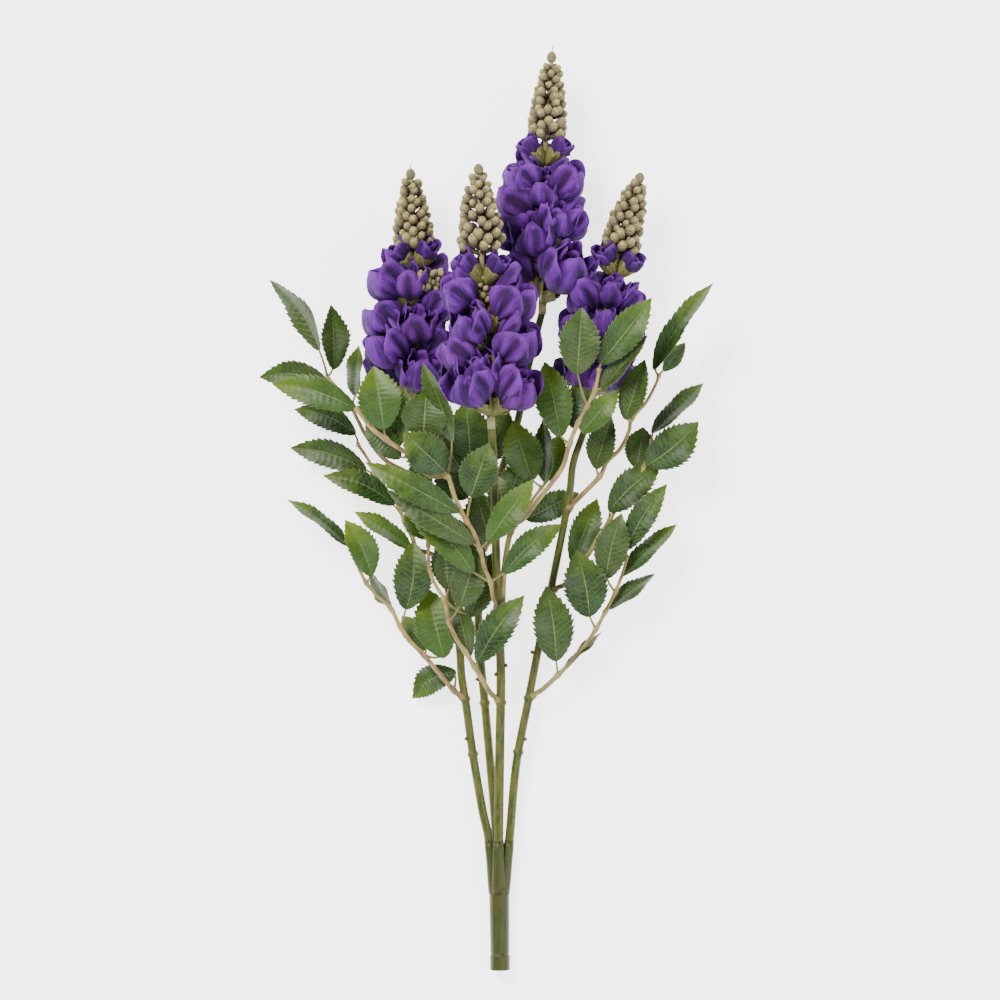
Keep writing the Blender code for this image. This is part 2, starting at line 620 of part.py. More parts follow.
def make_stem(name):
    """A stem with its rings and pegs."""
    stem = STEMS[name]
    axis = stem_axis(name)
    knots = stem["rings"] + [twig["at"] for twig in TWIGS.values() if twig["stem"] == name]
    stations = [
        (p, stem_radius(axis, p.y)) for p in axis
        if all(abs(p.y - y) > RING_CLEARANCE * RING_HALF_LENGTH for y in knots)
    ]
    for y in knots:
        for offset, height in ((-1.0, 0.0), (0.0, RING_HEIGHT), (1.0, 0.0)):
            p, _ = point_at(axis, y + offset * RING_HALF_LENGTH)
            stations.append((p, stem_radius(axis, p.y) + height))
    stations.sort(key=lambda station: station[0].y)
    points = [p for p, _ in stations]
    radii = [r for _, r in stations]
    up_the_head = head_direction(HEADS[stem["head"]])
    forward = Vector((0.0, 1.0, 0.0))
    solids = [tube(points, radii, STEM_SIDES, first=forward, last=up_the_head)]
    for y, towards in stem["pegs"]:
        p, _ = point_at(axis, y)
        end = p + Vector(towards).normalized() * (stem_radius(axis, y) + PEG_LENGTH)
        solids.append(tube([p, end], [PEG_RADIUS, PEG_RADIUS], PEG_SIDES))
    fuse(f"stem_{name}", solids, STEM_FINISH)


def outward(direction, azimuth):
    """The direction away from an axis at an azimuth counted from the side facing up."""
    level, up = across(direction)
    return math.cos(azimuth) * up + math.sin(azimuth) * level


def cup(root, axis, upwards, length, mouth, sides, draw):
    """A floret or an opening bud: a cup with a hood towards the spike's tip and a lip opposite."""
    hood = (upwards - upwards.dot(axis) * axis).normalized()
    side = axis.cross(hood)
    rings = []
    for level, (along, wide) in enumerate(FLORET_PROFILE):
        loop = []
        for k in range(sides):
            angle = 2.0 * math.pi * k / sides
            rise = 0.0
            grow = 1.0
            if level == FLORET_RIM:
                rise = HOOD_RISE * math.cos(angle) + LIPS_RISE * math.cos(2.0 * angle)
                rise += draw.uniform(-RIM_DRAW, RIM_DRAW)
                grow += LIP_FLARE * (0.5 - 0.5 * math.cos(angle))
                grow += draw.uniform(-RIM_DRAW, RIM_DRAW)
            out = math.cos(angle) * hood + math.sin(angle) * side
            loop.append(root + (along + rise) * length * axis + wide * grow * mouth * out)
        rings.append(loop)
    return skin(rings, root + FLORET_THROAT * length * axis)


def make_head(name, head):
    """A spike with its florets and the opening buds above them."""
    draw = random.Random(head["seed"])
    foot, top = Vector(head["foot"]), Vector(head["top"])
    direction = head_direction(head)
    solids = [tube([foot, top], [SPIKE_FOOT_RADIUS, SPIKE_TOP_RADIUS], SPIKE_SIDES)]
    cups = [
        (floret, FLORET_LEAN - LEAN_LOSS * floret[0], FLORET_MOUTH, FLORET_SIDES)
        for floret in head["florets"]
    ]
    cups += [(bud, OPENING_LEAN, OPENING_MOUTH, OPENING_SIDES) for bud in head["opening"]]
    for (along, azimuth, length), degrees, mouth, sides in cups:
        lean = math.radians(degrees)
        away = outward(direction, math.radians(azimuth))
        axis = math.cos(lean) * direction + math.sin(lean) * away
        root = foot + along * direction
        solids.append(cup(root, axis, direction, length, mouth * length, sides, draw))
    fuse(f"head_{name}", solids, HEAD_FINISH)


def ball(centre, radius, away):
    """A round bud, with one of its corners turned to the core behind it."""
    solid = bmesh.new()
    bmesh.ops.create_icosphere(solid, subdivisions=1, radius=radius)
    bmesh.ops.rotate(solid, verts=solid.verts, matrix=away.to_track_quat("Z", "Y").to_matrix())
    bmesh.ops.translate(solid, verts=solid.verts, vec=centre)
    return solid


def make_tip(name, head):
    """The tapering tip of round buds above a head, in tiers round a core."""
    draw = random.Random(-head["seed"])
    start = Vector(head["top"]) + head_direction(head) * GAP
    end = Vector(head["tip"])
    length = (end - start).length
    direction = (end - start).normalized()
    widest = 0.5 * head["tip_width"] - BALL_RADIUS_FOOT

    def spread(share):
        return widest * (1.0 - share) ** TIP_TAPER + TIP_END_SPREAD

    core = [start + share * length * direction for share in CORE_STATIONS]
    radii = [SPIKE_TOP_RADIUS] + [spread(share) - BALL_STANDS_OUT for share in CORE_STATIONS[1:]]
    solids = [tube(core, radii, TIP_SIDES, first=head_direction(head))]
    tiers = round((LAST_TIER - FIRST_TIER) * length / TIER_STEP) + 1
    for tier in range(tiers):
        part = tier / (tiers - 1)
        share = FIRST_TIER + part * (LAST_TIER - FIRST_TIER)
        radius = BALL_RADIUS_FOOT + share * (BALL_RADIUS_TIP - BALL_RADIUS_FOOT)
        count = round(BALLS_FIRST_TIER + part * (BALLS_LAST_TIER - BALLS_FIRST_TIER))
        for k in range(count):
            azimuth = 2.0 * math.pi * (k + 0.5 * (tier % 2)) / count
            azimuth += draw.uniform(-BALL_TURN_DRAW, BALL_TURN_DRAW)
            out = outward(direction, azimuth)
            centre = start + share * length * direction + spread(share) * out
            solids.append(ball(centre, radius, out))
    solids.append(ball(end - BALL_RADIUS_TIP * direction, BALL_RADIUS_TIP, direction))
    fuse(f"buds_{name}", solids, TIP_FINISH)


def blade_half_width(share):
    """Half the width of a leaf along it, 1 at its widest: an oval with a drawn-out tip."""
    return math.sin(math.pi * share ** BLADE_WIDEST) ** BLADE_FULLNESS


def strip(solid, inner, inner_at, outer, outer_at):
    """Triangles between a midrib and an edge that end in the same point."""
    i, k = 0, 0
    while i < len(inner) - 2 or k < len(outer) - 1:
        if k == len(outer) - 1 or (i < len(inner) - 2 and inner_at[i + 1] < outer_at[k + 1]):
            solid.faces.new((inner[i], outer[k], inner[i + 1]))
            i += 1
        else:
            solid.faces.new((inner[i], outer[k], outer[k + 1]))
            k += 1


def leaf(spring, base, tip, width, roll):
    """A leaf on its stalk: a thin arched blade with a toothed edge, thickest at its midrib."""
    spring, base, tip = Vector(spring), Vector(base), Vector(tip)
    reach = tip - base
    level, up = across(reach)
    turn = math.radians(roll)
    side = math.cos(turn) * level + math.sin(turn) * up
    face = math.cos(turn) * up - math.sin(turn) * level

    def on_rib(share, lift):
        arch = 4.0 * BLADE_ARCH * share * (1.0 - share) * reach.length
        return base + share * reach + (arch + lift) * face

    solid = bmesh.new()
    root_level, root_up = across(base - spring)
    root = [solid.verts.new(spring + STALK_RADIUS * v)
            for v in (-root_level, root_up, root_level, -root_up)]
    foot = [solid.verts.new(base + STALK_RADIUS * v) for v in (-side, face, side, -face)]
    for k in range(4):
        n = (k + 1) % 4
        solid.faces.new((root[k], root[n], foot[n], foot[k]))
    solid.faces.new(root[::-1])
    last = solid.verts.new(tip)
    edges = []
    for hand in (-1.0, 1.0):
        edge = []
        for tooth in range(BLADE_TEETH):
            point = FIRST_TOOTH + (LAST_TOOTH - FIRST_TOOTH) * tooth / (BLADE_TEETH - 1)
            for share, depth in ((point, TOOTH_DEPTH), (point + NOTCH_STEP, NOTCH_DEPTH)):
                half = 0.5 * width * blade_half_width(share) * depth
                place = on_rib(share, BLADE_FOLD * half) + hand * half * side
                edge.append((share, solid.verts.new(place)))
        edges.append(edge)
    for rib_foot, lift in ((foot[1], 0.5), (foot[3], -0.5)):
        ribs = [solid.verts.new(on_rib(share, lift * BLADE_THICKNESS)) for share in RIB_STATIONS]
        for edge, edge_foot in zip(edges, (foot[0], foot[2])):
            outer = [edge_foot] + [corner for _, corner in edge] + [last]
            outer_at = [0.0] + [share for share, _ in edge] + [1.0]
            strip(solid, [rib_foot] + ribs + [last], [0.0] + RIB_STATIONS + [1.0], outer, outer_at)
    bmesh.ops.recalc_face_normals(solid, faces=solid.faces)
    return solid


def make_twig(name, twig):
    """A twig from its stem outwards with its leaves."""
    axis = stem_axis(twig["stem"])
    on_axis, along = point_at(axis, twig["at"])
    points = [Vector(p) for p in twig["route"]]
    out = points[0] - on_axis
    out = (out - out.dot(along) * along).normalized()
    start = on_axis + out * (stem_radius(axis, twig["at"]) + RING_HEIGHT + GAP)
    path = [start, start + out * TWIG_COLLAR] + points
    count = len(path) - 1
    radii = [
        TWIG_ROOT_RADIUS + (TWIG_END_RADIUS - TWIG_ROOT_RADIUS) * k / count
        for k in range(count + 1)
    ]
    solids = [tube(path, radii, TWIG_SIDES, first=out)]
    for spot, base, tip, width, roll in twig["leaves"]:
        solids.append(leaf(points[spot], base, tip, width, roll))
    fuse(f"twig_{name}", solids, TWIG_FINISH)


clear_scene()
make_sleeve()
for stem_name in STEMS:
    make_stem(stem_name)
for head_name, head_data in HEADS.items():
    make_head(head_name, head_data)
    make_tip(head_name, head_data)
for twig_name, twig_data in TWIGS.items():
    make_twig(twig_name, twig_data)
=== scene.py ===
"""The look of an artificial snapdragon spray that lies on a table, seen from straight above.

The sections follow the spray as it is put together: sleeve, stems, flower spikes, calyces,
florets, opening buds, tips of round buds, twigs, leaves, and then the table with its lights.
All lengths are in metres.
"""

import bpy
import numpy as np
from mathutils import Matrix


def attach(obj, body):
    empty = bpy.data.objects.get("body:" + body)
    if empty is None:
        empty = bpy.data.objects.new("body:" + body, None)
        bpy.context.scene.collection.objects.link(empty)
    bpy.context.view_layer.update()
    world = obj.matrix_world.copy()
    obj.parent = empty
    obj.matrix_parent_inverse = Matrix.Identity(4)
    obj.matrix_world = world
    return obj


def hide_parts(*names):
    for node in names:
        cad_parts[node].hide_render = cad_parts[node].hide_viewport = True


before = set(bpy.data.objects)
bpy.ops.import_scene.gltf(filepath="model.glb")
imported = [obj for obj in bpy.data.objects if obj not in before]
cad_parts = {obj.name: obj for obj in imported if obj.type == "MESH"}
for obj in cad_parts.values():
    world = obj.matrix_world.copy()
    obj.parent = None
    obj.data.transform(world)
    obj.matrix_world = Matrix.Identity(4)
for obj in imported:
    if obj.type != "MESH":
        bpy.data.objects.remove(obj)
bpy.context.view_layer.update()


# The sleeve
# One piece of injection-moulded olive polyethylene that the four stems are pushed into. It has a
# raised band at its foot and at its top, a parting line on either side, and lies on a flat spot.
# Above it the four arms run together; they are made with the stems, whose paths they follow.

SLEEVE_FOOT, SLEEVE_TOP = (0.0095, -0.3147), (0.0089, -0.2575)
SLEEVE_RADII = (0.0061, 0.0067)
SLEEVE_FOOT_BAND, SLEEVE_TOP_BAND = 0.0110, 0.0040
SLEEVE_BAND_HEIGHT = 0.0004
SLEEVE_EDGE = 0.0005
SLEEVE_GROOVE, SLEEVE_GROOVE_WIDTH = 0.0004, 0.0007
SLEEVE_FLAT = 0.0002
SLEEVE_PARTING = 0.00018
SLEEVE_STATIONS, SLEEVE_SIDES = 120, 56
SLEEVE_GREENS = ((38, 46, 8), (58, 66, 14), (60, 60, 16))


def linear(rgb):
    """A colour of 0 to 255 as linear values: ((c + 0.055) / 1.055) to the power 2.4."""
    return (*((np.array(rgb) / 255.0 + 0.055) / 1.055) ** 2.4, 1.0)


def unit(vectors):
    """Each vector divided by its length."""
    return vectors / np.maximum(np.linalg.norm(vectors, axis=-1, keepdims=True), 1e-12)


def bars(paths, radii, sides, over=(0.0, 0.0, 1.0)):
    """Closed bars along paths, an array of (bars, stations, 3).

    A skin point is the path's point plus its radius times (cos a * right + sin a * above), where a
    goes once round, right is the path's direction crossed with over, and above is at right angles
    to both. Each end closes in a point of the path. The map runs round the bar and, in metres,
    along it.
    """
    count, stations = paths.shape[:2]
    radii = radii if np.ndim(radii) == 3 else radii[..., None]
    along = unit(np.gradient(paths, axis=1))
    right = unit(np.cross(along, over))
    above = np.cross(right, along)
    turn = 2.0 * np.pi * np.arange(sides) / sides
    ring = np.cos(turn)[:, None] * right[:, :, None] + np.sin(turn)[:, None] * above[:, :, None]
    skin = paths[:, :, None] + np.broadcast_to(radii, (count, stations, sides))[..., None] * ring
    points = np.concatenate([skin.reshape(count, -1, 3), paths[:, :1], paths[:, -1:]], axis=1)

    row, k = np.meshgrid(np.arange(stations - 1), np.arange(sides), indexing="ij")
    corner_row = np.stack([row, row + 1, row + 1, row], -1).reshape(-1, 4)
    corner_turn = np.stack([k, k, k + 1, k + 1], -1).reshape(-1, 4)
    quads = corner_row * sides + corner_turn % sides
    each = stations * sides + 2
    k = np.arange(sides)
    n = (k + 1) % sides
    top = (stations - 1) * sides
    caps = np.concatenate([
        np.stack([np.full(sides, each - 2), k, n], -1),
        np.stack([np.full(sides, each - 1), top + n, top + k], -1),
    ])
    step = (np.arange(count) * each)[:, None, None]
    legs = np.linalg.norm(np.diff(paths, axis=1), axis=-1)
    length = np.concatenate([np.zeros((count, 1)), np.cumsum(legs, axis=1)], axis=1)
    round_bar = np.broadcast_to(corner_turn / sides, (count, *corner_turn.shape))
    quad_map = np.stack([round_bar, length[:, corner_row]], -1)
    cap_map = np.zeros((count, len(caps), 3, 2))
    cap_map[..., 0] = 0.5
    cap_map[:, sides:, :, 1] = length[:, -1, None, None]
    return {
        "points": points.reshape(-1, 3),
        "faces": [(quads + step).reshape(-1, 4), (caps + step).reshape(-1, 3)],
        "map": [quad_map.reshape(-1, 2), cap_map.reshape(-1, 2)],
        "marks": {},
        "each": each,
    }


def put(name, parts, material, nodes=(), slot=None):
    """One object of several parts: their points, faces, maps and marks, one after another."""
    start = np.cumsum([0] + [len(part["points"]) for part in parts])
    faces, corners = [], []
    for part, first in zip(parts, start):
        for loop, flat in zip(part["faces"], part["map"]):
            faces += (loop + first).tolist()
            corners.append(flat)
    mesh = bpy.data.meshes.new(name)
    mesh.from_pydata(np.concatenate([part["points"] for part in parts]).tolist(), [], faces)
    mesh.uv_layers.new(name="UVMap").data.foreach_set("uv", np.concatenate(corners).ravel())
    for mark in sorted({mark for part in parts for mark in part["marks"]}):
        values = [part["marks"].get(mark, np.zeros(len(part["points"]))) for part in parts]
        layer = mesh.attributes.new(mark, "FLOAT", "POINT")
        layer.data.foreach_set("value", np.concatenate(values).astype(np.float32))
    mesh.shade_smooth()
    mesh.materials.append(material)
    thing = bpy.data.objects.new(name, mesh)
    bpy.context.scene.collection.objects.link(thing)
    if nodes:
        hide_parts(*nodes)
    if slot:
        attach(thing, "root")
    return thing


class Tree:
    """A node tree with short calls: add makes a node, feeds its inputs and returns it."""

    def __init__(self, tree):
        self.tree = tree

    def feed(self, node, values):
        for key, value in values.items():
            if isinstance(value, bpy.types.NodeSocket):
                self.tree.links.new(value, node.inputs[key])
            else:
                node.inputs[key].default_value = value

    def add(self, kind, values=None, **settings):
        made = self.tree.nodes.new(kind)
        for key, value in settings.items():
            setattr(made, key, value)
        self.feed(made, values or {})
        return made

    def math(self, operation, first, second=0.0, third=0.0, clamp=False):
        values = {0: first, 1: second, 2: third}
        return self.add("ShaderNodeMath", values, operation=operation, use_clamp=clamp).outputs[0]

    def scaled(self, value, by, plus=0.0, clamp=False):
        """A value times a second, plus a third."""
        return self.math("MULTIPLY_ADD", value, by, plus, clamp)

    def less(self, value):
        """One less the value."""
        return self.math("SUBTRACT", 1.0, value)

    def between(self, value, low, high):
        """0 below low, 1 above high, and a smooth step from one to the other."""
        values = {"Value": value, "From Min": low, "From Max": high}
        made = self.add("ShaderNodeMapRange", values, interpolation_type="SMOOTHSTEP")
        return made.outputs["Result"]

    def noise(self, scale, detail=3.0, roughness=0.5, at=None):
        """Clouds of 0 to 1 in the object's own space, or in another."""
        at = at or self.add("ShaderNodeTexCoord").outputs["Object"]
        values = {"Vector": at, "Scale": scale, "Detail": detail, "Roughness": roughness}
        return self.add("ShaderNodeTexNoise", values).outputs["Fac"]

    def flat(self):
        """The two numbers of the map: across or round, and along."""
        place = self.add("ShaderNodeTexCoord").outputs["UV"]
        return self.add("ShaderNodeSeparateXYZ", {0: place}).outputs[:2]

    def stretched(self, flat, by_across, by_along, own=0.0):
        """The map with a scale of its own across and along, and a third number of its own."""
        across, along = flat
        values = {0: self.scaled(across, by_across), 1: self.scaled(along, by_along), 2: own}
        return self.add("ShaderNodeCombineXYZ", values).outputs[0]


class Coat(Tree):
    """A material that is painted colour over colour, from its first one on."""

    def __init__(self, name, rgb):
        self.material = bpy.data.materials.new(name)
        self.material.use_nodes = True
        super().__init__(self.material.node_tree)
        self.colour = linear(rgb)

    def mark(self, name):
        """A mark of the mesh."""
        return self.add("ShaderNodeAttribute", attribute_name=name).outputs["Fac"]

    def flow(self, lines, stretch, patches):
        """The line, the patch and the grain of flow lines of this number, stretch and scale."""
        values = {"Lines": lines, "Stretch": stretch, "Patches": patches}
        flow = self.add("ShaderNodeGroup", values, node_tree=FLOW_LINES).outputs
        return flow["Line"], flow["Patch"], flow["Grain"]

    def paint(self, share, rgb, most=1.0):
        """Mix a colour over the one so far, by a share times the most that it covers."""
        if most < 1.0:
            share = self.scaled(share, most)
        values = {"Factor": share, 6: self.colour, 7: linear(rgb)}
        self.colour = self.add("ShaderNodeMix", values, data_type="RGBA").outputs[2]

    def finish(self, roughness, height, strength, depth, gloss=None):
        """The material, with its colour, roughness and relief, and plain numbers for its gloss."""
        bump = {"Strength": strength, "Distance": depth, "Height": height}
        normal = self.add("ShaderNodeBump", bump).outputs["Normal"]
        shader = self.tree.nodes["Principled BSDF"]
        self.feed(shader, {"Base Color": self.colour, "Roughness": roughness, "Normal": normal})
        self.feed(shader, gloss or {})
        return self.material


def flow_lines():
    """The marks that molten plastic leaves: faint lines along a bar, and cloudy patches."""
    group = bpy.data.node_groups.new("flow_lines", "ShaderNodeTree")
    for name in ("Lines", "Stretch", "Patches"):
        group.interface.new_socket(name, in_out="INPUT", socket_type="NodeSocketFloat")
    for name in ("Line", "Patch", "Grain"):
        group.interface.new_socket(name, in_out="OUTPUT", socket_type="NodeSocketFloat")
    tree = Tree(group)
    given = tree.add("NodeGroupInput").outputs
    streaks = tree.stretched(tree.flat(), given["Lines"], given["Stretch"])
    line = tree.between(tree.noise(1.0, 4.0, 0.6, at=streaks), 0.35, 0.68)
    patch = tree.between(tree.noise(given["Patches"]), 0.38, 0.66)
    tree.add("NodeGroupOutput", {"Line": line, "Patch": patch, "Grain": tree.noise(2400.0, 2.0)})
    return group


FLOW_LINES = flow_lines()


def moulded(name, colours, roughness, lines, stretch, patches):
    """Moulded plastic: a dark and a light colour in flow lines, a third in patches, and where the
    mesh has the mark pale, a fourth by that mark.
    """
    dark, light, patched, *pale = colours
    coat = Coat(name, dark)
    line, patch, grain = coat.flow(lines, stretch, patches)
    coat.paint(line, light)
    coat.paint(patch, patched, 0.7)
    if pale:
        coat.paint(coat.scaled(line, -0.25, coat.mark("pale"), clamp=True), pale[0])
    uneven = coat.scaled(grain, 0.16, roughness - 0.08)
    height = coat.scaled(grain, 0.4, line)
    return coat.finish(uneven, height, 0.7, 0.00012, {"Specular IOR Level": 0.28})


share = np.linspace(0.0, 1.0, SLEEVE_STATIONS)
sleeve_x = SLEEVE_FOOT[0] + share * (SLEEVE_TOP[0] - SLEEVE_FOOT[0])
sleeve_y = SLEEVE_FOOT[1] + share * (SLEEVE_TOP[1] - SLEEVE_FOOT[1])
sleeve_radius = SLEEVE_RADII[0] + share * (SLEEVE_RADII[1] - SLEEVE_RADII[0])
from_foot, from_top = sleeve_y - SLEEVE_FOOT[1], SLEEVE_TOP[1] - sleeve_y
for distance, band in ((from_foot, SLEEVE_FOOT_BAND), (from_top, SLEEVE_TOP_BAND)):
    # A band's edge is a ramp with a groove at its foot, and the ends are rounded off.
    sleeve_radius += SLEEVE_BAND_HEIGHT * np.clip((band - distance) / SLEEVE_EDGE, 0.0, 1.0)
    sleeve_radius -= SLEEVE_GROOVE * np.exp(-((distance - band) / SLEEVE_GROOVE_WIDTH) ** 2)
    sleeve_radius -= SLEEVE_EDGE * (1.0 - np.clip(distance / SLEEVE_EDGE, 0.0, 1.0)) ** 2
turn = 2.0 * np.pi * np.arange(SLEEVE_SIDES) / SLEEVE_SIDES
parting = SLEEVE_PARTING * np.isclose(np.abs(np.cos(turn)), 1.0)
sleeve_height = SLEEVE_RADII[1] + SLEEVE_BAND_HEIGHT - SLEEVE_FLAT
axis = np.stack([sleeve_x, sleeve_y, np.full(SLEEVE_STATIONS, sleeve_height)], -1)[None]
sleeve = bars(axis, (sleeve_radius[:, None] + parting)[None], SLEEVE_SIDES)
sleeve["points"][:, 2] = np.maximum(sleeve["points"][:, 2], 0.0)
sleeve_plastic = moulded("sleeve_plastic", SLEEVE_GREENS, 0.46, 22.0, 30.0, 60.0)
put("sleeve", [sleeve], sleeve_plastic, ["stem_sleeve"], "stem_green")


# The stems
# Four wires cased in the same olive plastic, thinner towards the flower, pushed into the sleeve.
# A ring stands where a twig is plugged on, and short pegs are left where none is.

STEM_RADII = (0.0031, 0.0024)
STEM_SIDES, STEM_STEPS = 18, 14
STEM_GREENS = ((46, 54, 14), (84, 92, 29), (84, 77, 26))
# In the sleeve the stems' axes keep this share of their distance from its own.
SLEEVE_DEPTH, SLEEVE_CROWDING = 0.0070, 0.3
RING_HEIGHT, RING_WIDTH = 0.0010, 0.0022
# A peg gets thinner outwards and ends in a small bead.
PEG_RADIUS, PEG_LENGTH, PEG_SIDES = 0.0013, 0.0020, 10
PEG_SWELL = (1.5, 1.4, 1.1, 0.9, 0.85, 1.1, 0.6)
ARM_FOOT, ARM_TOP = -0.2620, -0.2262
ARM_RADII = (0.0048, 0.0047, 0.0045, 0.0042, 0.0039, 0.0037, 0.0036, 0.0032)
ARM_SIDES, ARM_LOWEST = 24, 0.0001
# Each stem: its axis from the sleeve to the foot of its flower, the places along Y of its rings,
# and its pegs, each a place along Y with the direction that it points in. The middle stem is
# thicker.
STEMS = {
    "left": dict(route=[
        (0.0019, -0.226, 0.009), (-0.0026, -0.205, 0.01), (-0.009, -0.1675, 0.012),
        (-0.0134, -0.1353, 0.014), (-0.0166, -0.1144, 0.0155), (-0.0188, -0.09, 0.0175),
        (-0.0297, -0.035, 0.0225), (-0.0382, 0.015, 0.0275), (-0.0415, 0.04, 0.03),
        (-0.048, 0.0665, 0.0319),
    ], rings=[-0.1675, -0.13, -0.036, 0.012],
        pegs=[(-0.159, (-0.8, 0.5, 0.3)), (-0.07, (0.9, 0.4, 0.2))]),
    "back": dict(route=[
        (0.007, -0.226, 0.004), (0.005, -0.199, 0.0045), (0.0002, -0.1454, 0.006),
        (-0.005, -0.085, 0.0085), (-0.004, -0.05, 0.0105), (-0.0007, -0.0084, 0.014),
        (0.02, 0.053, 0.0215), (0.027, 0.088, 0.0265), (0.038, 0.1325, 0.0316),
    ], rings=[-0.133, -0.03, -0.005],
        pegs=[(-0.118, (-0.9, 0.3, 0.3))]),
    "centre": dict(thick=1.12, route=[
        (0.0083, -0.226, 0.013), (0.0094, -0.16, 0.019), (0.01, -0.109, 0.029),
        (0.0078, -0.06, 0.043), (0.0068, -0.03, 0.051), (0.0052, 0.03, 0.0665),
        (0.0036, 0.0545, 0.078),
    ], rings=[-0.132, -0.089, -0.069],
        pegs=[(-0.114, (-0.9, 0.3, 0.4)), (-0.108, (0.9, 0.3, 0.3))]),
    "right": dict(route=[
        (0.0158, -0.226, 0.009), (0.0186, -0.192, 0.0105), (0.0218, -0.166, 0.012),
        (0.029, -0.1295, 0.014), (0.0362, -0.0921, 0.0165), (0.0453, -0.0489, 0.0195),
        (0.0558, 0.0051, 0.0245), (0.059, 0.03, 0.028), (0.066, 0.051, 0.0305),
        (0.07, 0.067, 0.0328),
    ], rings=[-0.166, -0.1295, -0.057, -0.002],
        pegs=[(-0.159, (0.9, 0.4, 0.2)), (-0.1, (-0.9, 0.5, 0.2))]),
}


def smooth_path(points, steps):
    """A curve through the points: on each leg the cubic that meets both ends, with the slope at an
    end half the chord between that point's neighbours.
    """
    points = np.asarray(points, float)
    first, last = 2.0 * points[0] - points[1], 2.0 * points[-1] - points[-2]
    p = np.concatenate([[first], points, [last]])[:, None]
    a, b, c, d = p[:-3], p[1:-2], p[2:-1], p[3:]
    t = np.linspace(0.0, 1.0, steps, endpoint=False)[None, :, None]
    curved = (2 * a - 5 * b + 4 * c - d) * t**2 + (3 * b - a - 3 * c + d) * t**3
    return np.concatenate([(b + 0.5 * ((c - a) * t + curved)).reshape(-1, 3), points[-1:]])


def at_height(path, y):
    """The points of a path at places along Y, straight between its own points."""
    return np.stack([np.interp(y, path[:, 1], path[:, k]) for k in range(3)], -1)


stem_plastic = moulded("stem_plastic", STEM_GREENS, 0.48, 9.0, 60.0, 110.0)
stem_paths, arms = {}, []
for stem_name, stem in STEMS.items():
    route, rings, thick = np.array(stem["route"]), np.array(stem["rings"]), stem.get("thick", 1.0)
    sunk = (SLEEVE_TOP[0] + SLEEVE_CROWDING * (route[0, 0] - SLEEVE_TOP[0]),
            SLEEVE_TOP[1] - SLEEVE_DEPTH,
            SLEEVE_RADII[1] + SLEEVE_CROWDING * (route[0, 2] - SLEEVE_RADII[1]))
    path = smooth_path([sunk, *route], STEM_STEPS)
    stem_paths[stem_name] = path
    # Extra stations at each ring, which swells the stem by a bell curve along it.
    extra = (rings[:, None] + RING_WIDTH * np.linspace(-1.8, 1.8, 9)).ravel()
    y = np.unique(np.concatenate([path[:, 1], extra]))
    path = at_height(path, y)
    share = (y - y[0]) / (y[-1] - y[0])
    radius = thick * (STEM_RADII[0] + share * (STEM_RADII[1] - STEM_RADII[0]))
    swell = np.exp(-((y[:, None] - rings) / (0.6 * RING_WIDTH)) ** 2)
    radius += RING_HEIGHT * swell.sum(axis=1)
    starts = at_height(path, [place for place, _ in stem["pegs"]])
    towards = unit(np.array([way for _, way in stem["pegs"]], float))
    ends = starts + (STEM_RADII[0] + PEG_LENGTH) * towards
    pegs = np.linspace(starts, ends, len(PEG_SWELL), axis=1)
    peg_radii = np.tile(PEG_RADIUS * np.array(PEG_SWELL), (len(pegs), 1))
    parts = [bars(path[None], radius[None], STEM_SIDES), bars(pegs, peg_radii, PEG_SIDES)]
    put(f"stem_{stem_name}_bar", parts, stem_plastic, [f"stem_{stem_name}"], "stem_green")
    arm = at_height(path, np.linspace(ARM_FOOT, ARM_TOP, len(ARM_RADII)))
    arms.append(bars(arm[None], thick * np.array([ARM_RADII]), ARM_SIDES))
    arms[-1]["points"][:, 2] = np.maximum(arms[-1]["points"][:, 2], ARM_LOWEST)
put("sleeve_arms", arms, sleeve_plastic, slot="stem_green")


# The spikes
# The upper end of each stem's wire, which carries florets, opening buds and round buds. Soft
# olive-brown plastic with small knobs where florets are plugged on, and a pale cluster on two.

SPIKE_RADII = (0.0026, 0.0016, 0.0013)
SPIKE_SIDES, SPIKE_STEPS = 14, 16
SPIKE_SUNK = 0.002
SPIKE_OLIVES = ((34, 26, 10), (62, 52, 24), (46, 30, 14), (156, 146, 100))
# The wire's plastic is pale above this share of the spike's length, and dark between the florets.
SPIKE_PALE_FROM = 0.52
KNOB_RADIUS, KNOB_OUT, KNOB_STRETCH = 0.0016, 0.0022, 1.4
